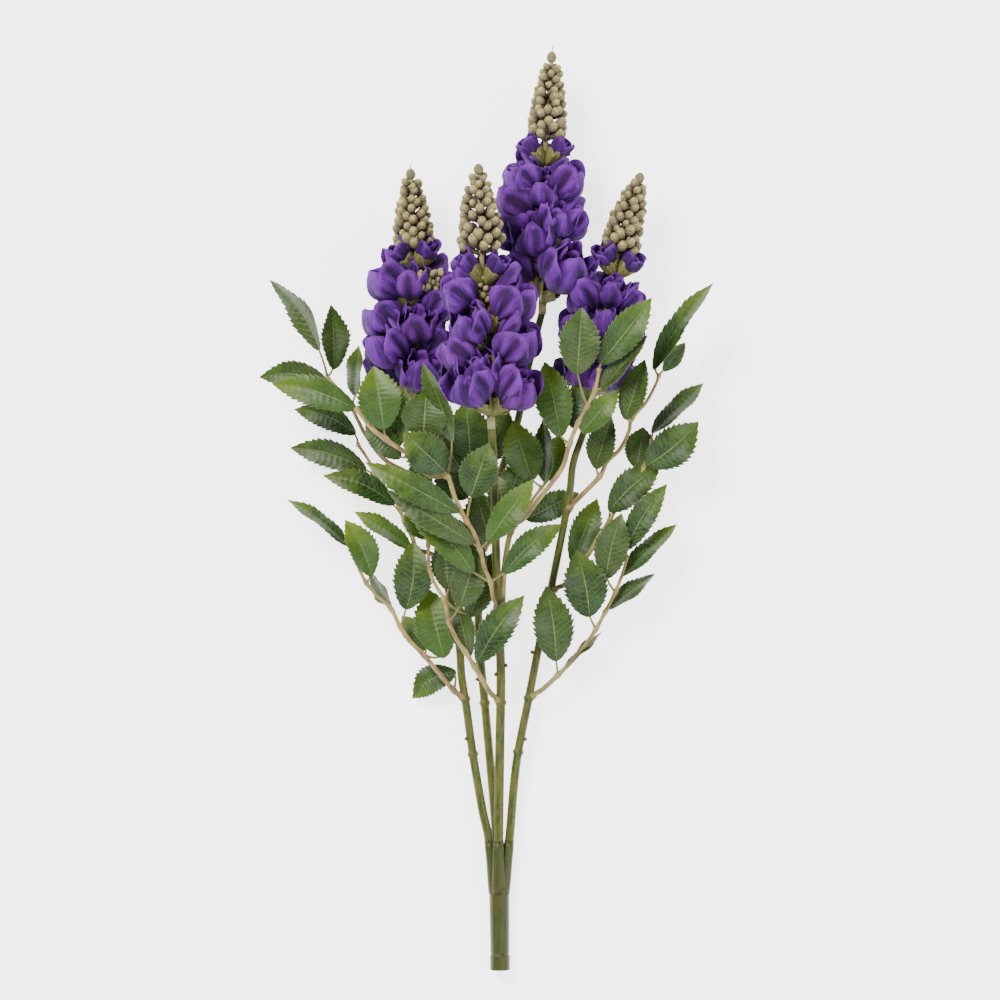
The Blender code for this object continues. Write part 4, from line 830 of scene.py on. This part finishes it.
# Each twig: its stem and the place along Y, its axis outwards, and its leaves. A leaf has the point
# of the axis that its stalk springs from, where its blade begins, where it ends, its width, its
# roll about its midrib in degrees, and how far it bends sideways as a share of its length. A twig's
# foot is red-brown unless it says green, and some have their own radii at foot and end.
TWIGS = {
    "left_low": dict(stem="left", at=-0.13, route=[
        (-0.022, -0.124, 0.017), (-0.033, -0.111, 0.021), (-0.042, -0.1, 0.024),
        (-0.05, -0.092, 0.026), (-0.058, -0.081, 0.027), (-0.064, -0.069, 0.028),
        (-0.075, -0.058, 0.028), (-0.081, -0.051, 0.028), (-0.088, -0.037, 0.028),
        (-0.092, -0.028, 0.028),
    ], leaves=[
        (0, (-0.0205, -0.111, 0.011), (-0.05, -0.13, 0.006), 0.019, -15, 0.11),
        (2, (-0.0285, -0.102, 0.024), (-0.0395, -0.055, 0.019), 0.0275, 0, 0),
        (2, (-0.04, -0.0965, 0.019), (-0.057, -0.0735, 0.01), 0.015, 25, 0),
        (4, (-0.054, -0.069, 0.029), (-0.049, -0.0225, 0.033), 0.0255, 0, 0.06),
        (5, (-0.064, -0.066, 0.02), (-0.078, -0.045, 0.015), 0.018, 60, 0),
        (7, (-0.0775, -0.0465, 0.03), (-0.095, -0.0085, 0.036), 0.02, -20, 0.06),
        (9, (-0.093, -0.0265, 0.028), (-0.1345, 0.005, 0.02), 0.014, -52, 0.05),
    ]),
    "left_mid": dict(stem="centre", at=-0.132, foot="green", route=[
        (0.002, -0.124, 0.03), (-0.008, -0.107, 0.038), (-0.014, -0.097, 0.04),
        (-0.019, -0.09, 0.041), (-0.025, -0.077, 0.042), (-0.028, -0.062, 0.043),
        (-0.033, -0.054, 0.044), (-0.038, -0.042, 0.044), (-0.039, -0.025, 0.045),
        (-0.04, -0.015, 0.046),
    ], leaves=[
        (1, (-0.006, -0.1045, 0.042), (0.0255, -0.0595, 0.048), 0.021, 0, -0.05),
        (4, (-0.0175, -0.067, 0.044), (-0.0065, -0.031, 0.05), 0.022, 0, 0),
        (5, (-0.025, -0.056, 0.038), (-0.029, -0.02, 0.034), 0.019, 12, 0),
        (2, (-0.011, -0.101, 0.033), (-0.02, -0.064, 0.032), 0.019, 30, 0),
        (5, (-0.011, -0.074, 0.036), (0.005, -0.03, 0.036), 0.022, 8, 0),
        (8, (-0.036, -0.021, 0.04), (-0.055, -0.003, 0.034), 0.017, -15, 0),
        (9, (-0.041, -0.01, 0.046), (-0.05, 0.03, 0.041), 0.02, 10, 0),
    ]),
    "front": dict(stem="centre", at=-0.069, radii=(0.0013, 0.0017), route=[
        (0.0045, -0.06, 0.052), (0.003, -0.05, 0.058), (-0.001, -0.04, 0.061),
        (-0.004, -0.028, 0.063), (-0.009, -0.015, 0.065), (-0.013, -0.009, 0.066),
        (-0.02, 0.005, 0.068), (-0.023, 0.014, 0.069), (-0.026, 0.021, 0.07),
        (-0.037, 0.021, 0.0705), (-0.045, 0.028, 0.071), (-0.05, 0.034, 0.072),
        (-0.06, 0.041, 0.073), (-0.067, 0.046, 0.074), (-0.076, 0.053, 0.074),
        (-0.087, 0.067, 0.072),
    ], leaves=[
        (1, (0.012, -0.044, 0.064), (0.051, -0.011, 0.062), 0.0175, 0, -0.04),
        (1, (-0.008, -0.044, 0.057), (-0.053, -0.001, 0.055), 0.02, 0, 0.06),
        (1, (-0.002, -0.046, 0.047), (-0.018, -0.008, 0.044), 0.02, 20, 0),
        (3, (0.001, -0.023, 0.066), (0.032, 0.019, 0.07), 0.0185, 0, 0),
        (3, (-0.008, -0.024, 0.066), (-0.066, 0.0115, 0.068), 0.018, 0, 0),
        (5, (-0.018, -0.003, 0.07), (-0.08, 0.03, 0.076), 0.018, 0, 0),
        (5, (-0.01, 0.007, 0.072), (0.002, 0.043, 0.081), 0.025, 0, 0),
        (8, (-0.027, 0.024, 0.074), (-0.055, 0.05, 0.08), 0.026, 0, 0),
        (8, (-0.022, 0.044, 0.071), (-0.042, 0.096, 0.081), 0.021, 50, 0.04),
        (11, (-0.042, 0.046, 0.072), (-0.0395, 0.079, 0.074), 0.03, 0, 0),
        (11, (-0.057, 0.033, 0.066), (-0.081, 0.057, 0.062), 0.017, 10, 0),
        (13, (-0.068, 0.052, 0.076), (-0.075, 0.0945, 0.076), 0.028, 0, 0),
        (13, (-0.0605, 0.039, 0.065), (-0.054, 0.08, 0.062), 0.018, 12, 0),
        (15, (-0.0865, 0.066, 0.072), (-0.143, 0.0825, 0.06), 0.0195, 0, 0.05),
    ]),
    "left_high": dict(stem="left", at=0.012, route=[
        (-0.05, 0.022, 0.03), (-0.068, 0.032, 0.034), (-0.08, 0.047, 0.038),
        (-0.086, 0.058, 0.04), (-0.091, 0.068, 0.041), (-0.098, 0.078, 0.042),
        (-0.107, 0.088, 0.042),
    ], leaves=[
        (4, (-0.088, 0.075, 0.043), (-0.0855, 0.109, 0.044), 0.02, 58, 0),
        (5, (-0.105, 0.083, 0.042), (-0.153, 0.088, 0.034), 0.0175, 0, 0.09),
        (6, (-0.1025, 0.093, 0.042), (-0.1045, 0.1365, 0.044), 0.022, -38, 0.02),
        (6, (-0.112, 0.106, 0.042), (-0.1458, 0.1536, 0.036), 0.022, 50, 0.075),
    ]),
    "left_thin": dict(stem="left", at=-0.036, route=[
        (-0.038, -0.031, 0.021), (-0.047, -0.028, 0.02), (-0.05, -0.02, 0.02),
        (-0.055, -0.01, 0.02), (-0.06, 0.002, 0.0205), (-0.07, 0.015, 0.0215),
        (-0.075, 0.022, 0.022), (-0.079, 0.031, 0.023), (-0.087, 0.043, 0.024),
    ], leaves=[
        (1, (-0.051, -0.028, 0.018), (-0.0895, -0.003, 0.014), 0.016, -42, 0.01),
        (3, (-0.062, 0.002, 0.022), (-0.11, 0.0215, 0.026), 0.017, -15, 0.09),
        (6, (-0.081, 0.0255, 0.022), (-0.133, 0.0405, 0.016), 0.018, 0, 0.07),
        (8, (-0.088, 0.05, 0.024), (-0.13, 0.0665, 0.016), 0.0165, 0, 0.08),
    ]),
    "right_high": dict(stem="centre", at=-0.089, foot="green", radii=(0.0023, 0.0012), route=[
        (0.011, -0.075, 0.038), (0.012, -0.045, 0.044), (0.0168, -0.016, 0.05),
        (0.0257, -0.0069, 0.053), (0.0344, 0.0044, 0.056), (0.0444, 0.0168, 0.058),
        (0.0519, 0.028, 0.06), (0.0562, 0.043, 0.062), (0.0618, 0.0568, 0.064),
        (0.068, 0.068, 0.067), (0.073, 0.079, 0.069), (0.076, 0.093, 0.071),
    ], leaves=[
        (2, (0.017, -0.012, 0.044), (0.006, 0.022, 0.04), 0.02, 0, 0),
        (7, (0.05, 0.047, 0.059), (0.0395, 0.098, 0.049), 0.024, 0, 0),
        (8, (0.064, 0.05, 0.06), (0.089, 0.079, 0.067), 0.016, 0, 0),
        (8, (0.059, 0.053, 0.052), (0.063, 0.085, 0.05), 0.019, 0, 0),
        (9, (0.061, 0.089, 0.071), (0.064, 0.1335, 0.078), 0.0265, 0, 0),
        (10, (0.077, 0.079, 0.071), (0.108, 0.115, 0.07), 0.018, 52, 0),
        (11, (0.0765, 0.096, 0.072), (0.1106, 0.14, 0.073), 0.021, 0, 0),
    ]),
    "right_mid": dict(stem="right", at=-0.002, route=[
        (0.063, 0.0068, 0.028), (0.0766, 0.0208, 0.033), (0.0818, 0.0308, 0.035),
        (0.0905, 0.0395, 0.039), (0.0962, 0.051, 0.043), (0.0982, 0.0597, 0.045),
        (0.1078, 0.0709, 0.047), (0.1143, 0.083, 0.047), (0.1165, 0.089, 0.046),
    ], leaves=[
        (1, (0.074, 0.026, 0.036), (0.0845, 0.061, 0.044), 0.021, 30, 0),
        (5, (0.0935, 0.059, 0.059), (0.1065, 0.099, 0.065), 0.019, 25, 0),
        (8, (0.113, 0.0925, 0.045), (0.153, 0.151, 0.04), 0.0205, 52, -0.035),
        (8, (0.119, 0.092, 0.046), (0.134, 0.111, 0.044), 0.0105, -20, 0),
    ]),
    "right_low": dict(stem="right", at=-0.1295, foot="green", route=[
        (0.0393, -0.1225, 0.017), (0.0486, -0.1137, 0.02), (0.0576, -0.1046, 0.021),
        (0.0667, -0.0941, 0.022), (0.0744, -0.0823, 0.024), (0.0809, -0.0704, 0.025),
        (0.0876, -0.057, 0.027), (0.0928, -0.043, 0.029), (0.0954, -0.033, 0.03),
    ], leaves=[
        (1, (0.0475, -0.104, 0.026), (0.0405, -0.053, 0.033), 0.026, 0, 0.02),
        (1, (0.054, -0.108, 0.017), (0.078, -0.085, 0.017), 0.012, 68, 0),
        (4, (0.07, -0.074, 0.028), (0.061, -0.029, 0.036), 0.0285, 0, 0.03),
        (5, (0.083, -0.069, 0.023), (0.1145, -0.045, 0.019), 0.015, 50, 0),
        (6, (0.081, -0.048, 0.031), (0.0915, -0.004, 0.038), 0.022, 0, -0.03),
        (6, (0.092, -0.0465, 0.027), (0.129, -0.0115, 0.023), 0.017, 48, -0.01),
        (8, (0.0945, -0.0285, 0.031), (0.122, 0.0155, 0.034), 0.017, 0, -0.05),
    ]),
    "right_thin": dict(stem="right", at=-0.057, route=[
        (0.0547, -0.051, 0.02), (0.062, -0.04, 0.021), (0.07, -0.031, 0.022),
        (0.076, -0.02, 0.023), (0.084, -0.008, 0.024), (0.093, 0.008, 0.026),
        (0.107, 0.028, 0.029), (0.112, 0.046, 0.032),
    ], leaves=[
        (1, (0.0585, -0.038, 0.018), (0.0755, 0.006, 0.01), 0.019, 0, 0),
        (4, (0.083, -0.0025, 0.027), (0.118, 0.0285, 0.027), 0.0215, 0, -0.05),
        (6, (0.1085, 0.028, 0.032), (0.143, 0.0575, 0.038), 0.0255, 0, 0.04),
        (6, (0.102, 0.0265, 0.027), (0.1065, 0.0545, 0.022), 0.02, 15, 0),
        (7, (0.112, 0.05, 0.033), (0.147, 0.084, 0.03), 0.0185, 52, 0),
    ]),
    "back_right": dict(stem="back", at=-0.03, route=[
        (0.006, -0.02, 0.014), (0.016, -0.011, 0.015), (0.024, -0.005, 0.016),
        (0.032, 0.006, 0.018), (0.038, 0.014, 0.02),
    ], leaves=[
        (0, (0.002, -0.023, 0.015), (-0.007, 0.012, 0.023), 0.026, 0, 0),
        (0, (0.0085, -0.018, 0.013), (0.021, 0.004, 0.016), 0.017, 10, 0),
        (1, (0.013, 0.001, 0.02), (0.026, 0.034, 0.022), 0.02, 0, 0),
        (2, (0.027, -0.008, 0.015), (0.063, 0.01, 0.012), 0.018, 0, 0),
        (4, (0.031, 0.018, 0.023), (0.018, 0.059, 0.03), 0.025, 0, 0),
        (4, (0.04, 0.017, 0.022), (0.0385, 0.059, 0.024), 0.019, 50, 0.04),
        (4, (0.0425, 0.018, 0.019), (0.0505, 0.05, 0.014), 0.017, 0, 0),
    ]),
    "back_left": dict(stem="back", at=-0.005, route=[
        (-0.008, 0.005, 0.016), (-0.01, 0.016, 0.02), (-0.011, 0.028, 0.024),
    ], leaves=[
        (0, (-0.013, 0.006, 0.015), (-0.034, 0.031, 0.017), 0.021, 0, 0),
        (1, (-0.016, 0.024, 0.021), (-0.037, 0.06, 0.023), 0.025, 0, 0),
        (2, (-0.0105, 0.032, 0.025), (-0.014, 0.072, 0.03), 0.029, 0, 0),
        (2, (-0.002, 0.03, 0.02), (0.015, 0.067, 0.022), 0.024, 0, 0),
    ]),
}
TWIG_SIDES, TWIG_STEPS = 12, 8
TWIG_RADII = (0.0018, 0.0010)
COLLAR_RADIUS, COLLAR_LENGTH, COLLAR_SWELL = 0.0027, 0.0055, (1.0, 1.0, 1.1, 1.0, 0.75)
KNOT_HEIGHT, KNOT_WIDTH = 0.0007, 0.0022
# A stalk runs this far into the leaf's midrib, and swells at its foot.
STALK_SUNK, STALK_RADII, STALK_SIDES = 0.002, (0.0009, 0.0006), 8
STALK_SWELL = (1.4, 1.1, 1.0, 1.0, 1.0, 1.0, 0.8)
TWIG_TAN, TWIG_RED = (140, 122, 63), (102, 68, 42)
TWIG_GREEN, TWIG_PALE = (90, 98, 42), (180, 164, 100)


def twig_skin():
    """Tan plastic with red-brown stretches, pale ridges along it, and greener at the leaves."""
    coat = Coat("twig_skin", TWIG_TAN)
    line, patch, grain = coat.flow(5.0, 130.0, 75.0)
    coat.paint(coat.math("ADD", coat.mark("red"), patch, clamp=True), TWIG_RED)
    coat.paint(line, TWIG_PALE, 0.45)
    coat.paint(coat.mark("green"), TWIG_GREEN, 0.75)
    return coat.finish(coat.scaled(grain, 0.2, 0.45), coat.scaled(grain, 0.3, line), 0.8, 0.0003)


TWIG_SKIN = twig_skin()
for twig_name, twig in TWIGS.items():
    spots, base, tip = (np.array(each) for each in list(zip(*twig["leaves"]))[:3])
    route = np.array(twig["route"])
    start = at_height(stem_paths[twig["stem"]], twig["at"])
    path = smooth_path([start, start + 0.45 * (route[0] - start), *route], TWIG_STEPS)
    length = np.append(0.0, np.cumsum(np.linalg.norm(np.diff(path, axis=0), axis=1)))
    share = length / length[-1]
    thick, thin = twig.get("radii", TWIG_RADII)
    knots = length[(np.unique(spots) + 2) * TWIG_STEPS]
    swell = np.exp(-((length[:, None] - knots) / KNOT_WIDTH) ** 2).sum(axis=1)
    radius = thick + share * (thin - thick) + KNOT_HEIGHT * swell
    foot = 0.6 * along_bar(np.clip(1.0 - 2.2 * share, 0.0, 1.0), TWIG_SIDES)
    bar = marked(bars(path[None], radius[None], TWIG_SIDES), **{twig.get("foot", "red"): foot})
    end = start + COLLAR_LENGTH * unit(path[3] - path[0])
    collar = np.linspace(start, end, len(COLLAR_SWELL))[None]
    collar = bars(collar, COLLAR_RADIUS * np.array([COLLAR_SWELL]), TWIG_SIDES, (0.0, 0.3, 1.0))
    marked(collar, **{twig.get("foot", "red"): 0.6})
    # A stalk is a quadratic curve from its knot that ends in line with the midrib, inside it.
    spring, midrib = route[spots], unit(tip - base)
    reach = base - spring
    far = np.linalg.norm(reach, axis=1, keepdims=True)
    bend = 0.5 * (spring + base) + 0.12 * reach - 0.15 * far * midrib
    inside = base + STALK_SUNK * midrib
    s = np.linspace(0.0, 1.0, len(STALK_SWELL))[None, :, None]
    line = (1 - s) ** 2 * spring[:, None] + 2 * s * (1 - s) * bend[:, None] + s**2 * inside[:, None]
    thick = np.linspace(*STALK_RADII, len(STALK_SWELL)) * np.array(STALK_SWELL)
    stalks = bars(line, np.tile(thick, (len(base), 1)), STALK_SIDES, (0.1, 0.05, 1.0))
    parts = [bar, collar, marked(stalks, green=0.8)]
    put(f"twig_{twig_name}_bar", parts, TWIG_SKIN, slot="twig_tan")


# The leaves
# Green polyester cloth, printed with paler veins, stiffened and pressed hot: folded along the
# midrib, puffed between the side veins and cut with saw teeth that point to the tip.

LEAF_ROWS, LEAF_COLUMNS = 73, 11
LEAF_THICKNESS, LEAF_BLUNT = 0.0005, 0.00035
LEAF_WIDEST, LEAF_FULLNESS = 0.92, 0.76
LEAF_ARCH, LEAF_FOLD = 0.07, 0.22
LEAF_TEETH, TOOTH_DEPTH, TOOTH_LEAN = 13, 0.20, 0.034
VEIN_SLOPE = 0.16
PUFF_HEIGHT, WAVE_HEIGHT = 0.0008, 0.0011
# The deep green is the cloth's darkest mottling, and also the painted shade along the side veins.
LEAF_DEEP, LEAF_BODY, LEAF_LIGHT = (9, 30, 5), (28, 61, 12), (70, 104, 22)
LEAF_VEIN, LEAF_UNDER = (124, 138, 84), (62, 88, 36)
LEAF_YELLOW, LEAF_OLIVE = (96, 116, 20), (64, 78, 32)


def blades(leaves, draw):
    """Leaf blades, an array of (leaves, rows, columns, 3), with t from base to tip and u across.

    Half the width is the sine of pi t to a power, to another power that grows to the tip, times
    the saw teeth at the edge. The midrib arches by 4 t (1 - t) and bends sideways by the sine of
    pi t, the edges rise by a fold for each length outwards, the cloth is puffed between side veins
    by a squared sine, and the rim waves along its length.
    """
    _, base, tip, width, roll, bend = (np.array(each)[:, None, None] for each in zip(*leaves))
    t = np.linspace(0.0, 1.0, LEAF_ROWS)[None, :, None]
    u = np.sin(0.5 * np.pi * np.linspace(-1.0, 1.0, LEAF_COLUMNS))[None, None]
    edge = np.abs(u)
    one_each = (len(leaves), 1, 1)
    phase = draw.uniform(0.0, 2.0 * np.pi, (3, *one_each))[0]
    reach = tip - base
    length = np.linalg.norm(reach, axis=-1)
    level = unit(np.cross(reach, (0.0, 0.0, 1.0)))
    up = unit(np.cross(level, reach))
    # The roll grows a little along the blade, so that it twists.
    turn = (np.radians(roll) + draw.normal(0.0, 0.16, one_each) * (t - 0.4))[..., None]
    side = np.cos(turn) * level + np.sin(turn) * up
    face = np.cos(turn) * up - np.sin(turn) * level
    outline = np.sin(np.pi * t**LEAF_WIDEST) ** (LEAF_FULLNESS * (0.92 + 0.5 * t**3))
    saw = (LEAF_TEETH * t + 0.25 * np.sign(u)) % 1.0
    teeth = TOOTH_DEPTH * (saw - 0.45) * edge**6
    half = 0.5 * width * outline * (1.0 + teeth) + LEAF_BLUNT
    station = t + TOOTH_LEAN * saw * edge**6 * np.sin(np.pi * t)
    vein = LEAF_TEETH * (t - VEIN_SLOPE * edge)
    puff = PUFF_HEIGHT * np.sin(np.pi * vein) ** 2 * np.sin(np.pi * edge) * outline
    wave = WAVE_HEIGHT * np.sin(3.2 * np.pi * t + phase + 1.4 * np.sign(u)) * edge**2 * outline
    droop = draw.normal(0.0, 0.035, one_each) * length * t**3
    arch = 4.0 * LEAF_ARCH * t * (1.0 - t) * length - np.abs(droop)
    rise = LEAF_FOLD * half * edge + puff + wave
    middle = base + station[..., None] * reach + arch[..., None] * up
    sway = (bend + draw.normal(0.0, 0.008, one_each)) * length * np.sin(np.pi * t)
    return middle + rise[..., None] * face + sway[..., None] * level + (half * u)[..., None] * side


def leaf_cloth():
    """Printed leaf cloth: pale midrib and side veins, painted shade in the grooves along the side
    veins, mottled greens, pale teeth and underside.
    """
    coat = Coat("leaf_cloth", LEAF_DEEP)
    tint, under = coat.mark("tint"), coat.mark("under")
    # The columns are closer together at the edges, so the sine gives the true share of the width.
    column, along = coat.flat()
    across = coat.math("SINE", coat.scaled(column, np.pi, -0.5 * np.pi))
    across = coat.math("ABSOLUTE", across)
    cloud, fibre, weave = coat.noise(140.0, 4.0), coat.noise(900.0), coat.noise(3000.0, 2.0)
    wobble = coat.scaled(cloud, 0.02, along)
    vein = coat.scaled(coat.scaled(across, -VEIN_SLOPE, wobble), LEAF_TEETH * np.pi)
    vein = coat.math("ABSOLUTE", coat.math("SINE", vein))
    low = coat.less(coat.between(wobble, 0.35, 0.85))
    line = coat.scaled(coat.less(coat.between(vein, 0.04, 0.22)), coat.scaled(low, 0.70, 0.08))
    line = coat.scaled(line, coat.less(coat.between(across, 0.55, 1.0)))
    rib = coat.scaled(coat.less(coat.between(across, 0.012, 0.045)), coat.scaled(low, 0.55, 0.45))
    veins = coat.math("MAXIMUM", line, rib)
    coat.paint(coat.between(cloud, 0.32, 0.68), LEAF_BODY)
    coat.paint(coat.between(fibre, 0.45, 0.75), LEAF_LIGHT, 0.5)
    coat.paint(coat.between(tint, 0.45, 1.0), LEAF_LIGHT, 0.45)
    # Painted shade: the deep green darkens the grooves along the side veins, between the puffs.
    coat.paint(coat.less(coat.between(vein, 0.10, 0.75)), LEAF_DEEP, 0.45)
    end = coat.between(coat.scaled(cloud, 0.5, along), 0.60, 1.30)
    coat.paint(coat.scaled(end, coat.scaled(tint, 0.6, 0.15)), LEAF_YELLOW)
    dull = coat.less(coat.between(tint, 0.15, 0.50))
    coat.paint(coat.scaled(dull, coat.scaled(low, 0.45, 0.05)), LEAF_OLIVE)
    coat.paint(veins, LEAF_VEIN, 0.6)
    coat.paint(coat.between(across, 0.95, 1.0), LEAF_VEIN, 0.35)
    coat.paint(under, LEAF_UNDER, 0.7)
    height = coat.scaled(weave, 0.25, coat.scaled(fibre, 0.3, veins))
    gloss = {"Specular IOR Level": 0.3}
    return coat.finish(coat.scaled(fibre, 0.20, 0.32), height, 0.6, 0.0003, gloss)


LEAF_CLOTH = leaf_cloth()
for twig_number, (twig_name, twig) in enumerate(TWIGS.items()):
    draw = np.random.default_rng(100 + twig_number)
    grid = blades(twig["leaves"], draw)
    leaves = sheets(grid, LEAF_THICKNESS, tint=draw.random(len(grid)))
    put(f"leaves_{twig_name}", [leaves], LEAF_CLOTH, [f"twig_{twig_name}"], "leaf_green")


# The table, the lights and the camera
# A matt white table under large soft lamps, and a long lens that looks straight down from 3.8 m,
# as the photograph was taken.

TABLE_SIZE = 14.0
TABLE_WHITE, TABLE_PALEST = (246, 246, 247), (250, 250, 250)
TABLE_GLOW = 2.6
CAMERA_AT, CAMERA_LENS = (0.00945, 0.00506, 3.80), 200.8
SKY_COLOUR, SKY_STRENGTH = (0.95, 0.97, 1.0, 1.0), 0.38
# Each lamp: where it stands, how wide it is, its power, and its colour.
LAMPS = {
    "key_lamp": ((-1.3, 1.5, 2.4), 1.4, 165.0, (1.0, 0.985, 0.96)),
    "fill_lamp": ((1.9, -0.6, 2.2), 2.0, 70.0, (0.96, 0.98, 1.0)),
    "foot_lamp": ((-0.6, -2.2, 2.0), 2.0, 52.0, (1.0, 1.0, 1.0)),
}

white = Coat("table_white", TABLE_WHITE)
white.paint(white.noise(3.0, 2.0), TABLE_PALEST)
white.feed(white.tree.nodes["Principled BSDF"], {
    "Base Color": white.colour, "Roughness": 0.9,
    "Emission Color": (1.0, 1.0, 1.0, 1.0), "Emission Strength": TABLE_GLOW})
half = 0.5 * TABLE_SIZE
corners = [(-half, -half, 0.0), (half, -half, 0.0), (half, half, 0.0), (-half, half, 0.0)]
table = bpy.data.meshes.new("table")
table.from_pydata(corners, [], [(0, 1, 2, 3)])
table.materials.append(white.material)
table = bpy.data.objects.new("table", table)
bpy.context.scene.collection.objects.link(table)

for lamp_name, (place, size, power, colour) in LAMPS.items():
    lamp = bpy.data.lights.new(lamp_name, "AREA")
    lamp.shape = "DISK"
    lamp.size = size
    lamp.energy = power
    lamp.color = colour
    holder = bpy.data.objects.new(lamp_name, lamp)
    holder.location = place
    holder.rotation_mode = "QUATERNION"
    holder.rotation_quaternion = holder.location.to_track_quat("Z", "Y")
    bpy.context.scene.collection.objects.link(holder)

world = bpy.data.worlds.new("studio")
world.use_nodes = True
sky = world.node_tree.nodes["Background"].inputs
sky["Color"].default_value = SKY_COLOUR
sky["Strength"].default_value = SKY_STRENGTH
bpy.context.scene.world = world

camera = bpy.data.cameras.new("camera")
camera.lens = CAMERA_LENS
camera.sensor_width = 36.0
camera.clip_end = 100.0
camera = bpy.data.objects.new("camera", camera)
camera.location = CAMERA_AT
bpy.context.scene.collection.objects.link(camera)
bpy.context.scene.camera = camera
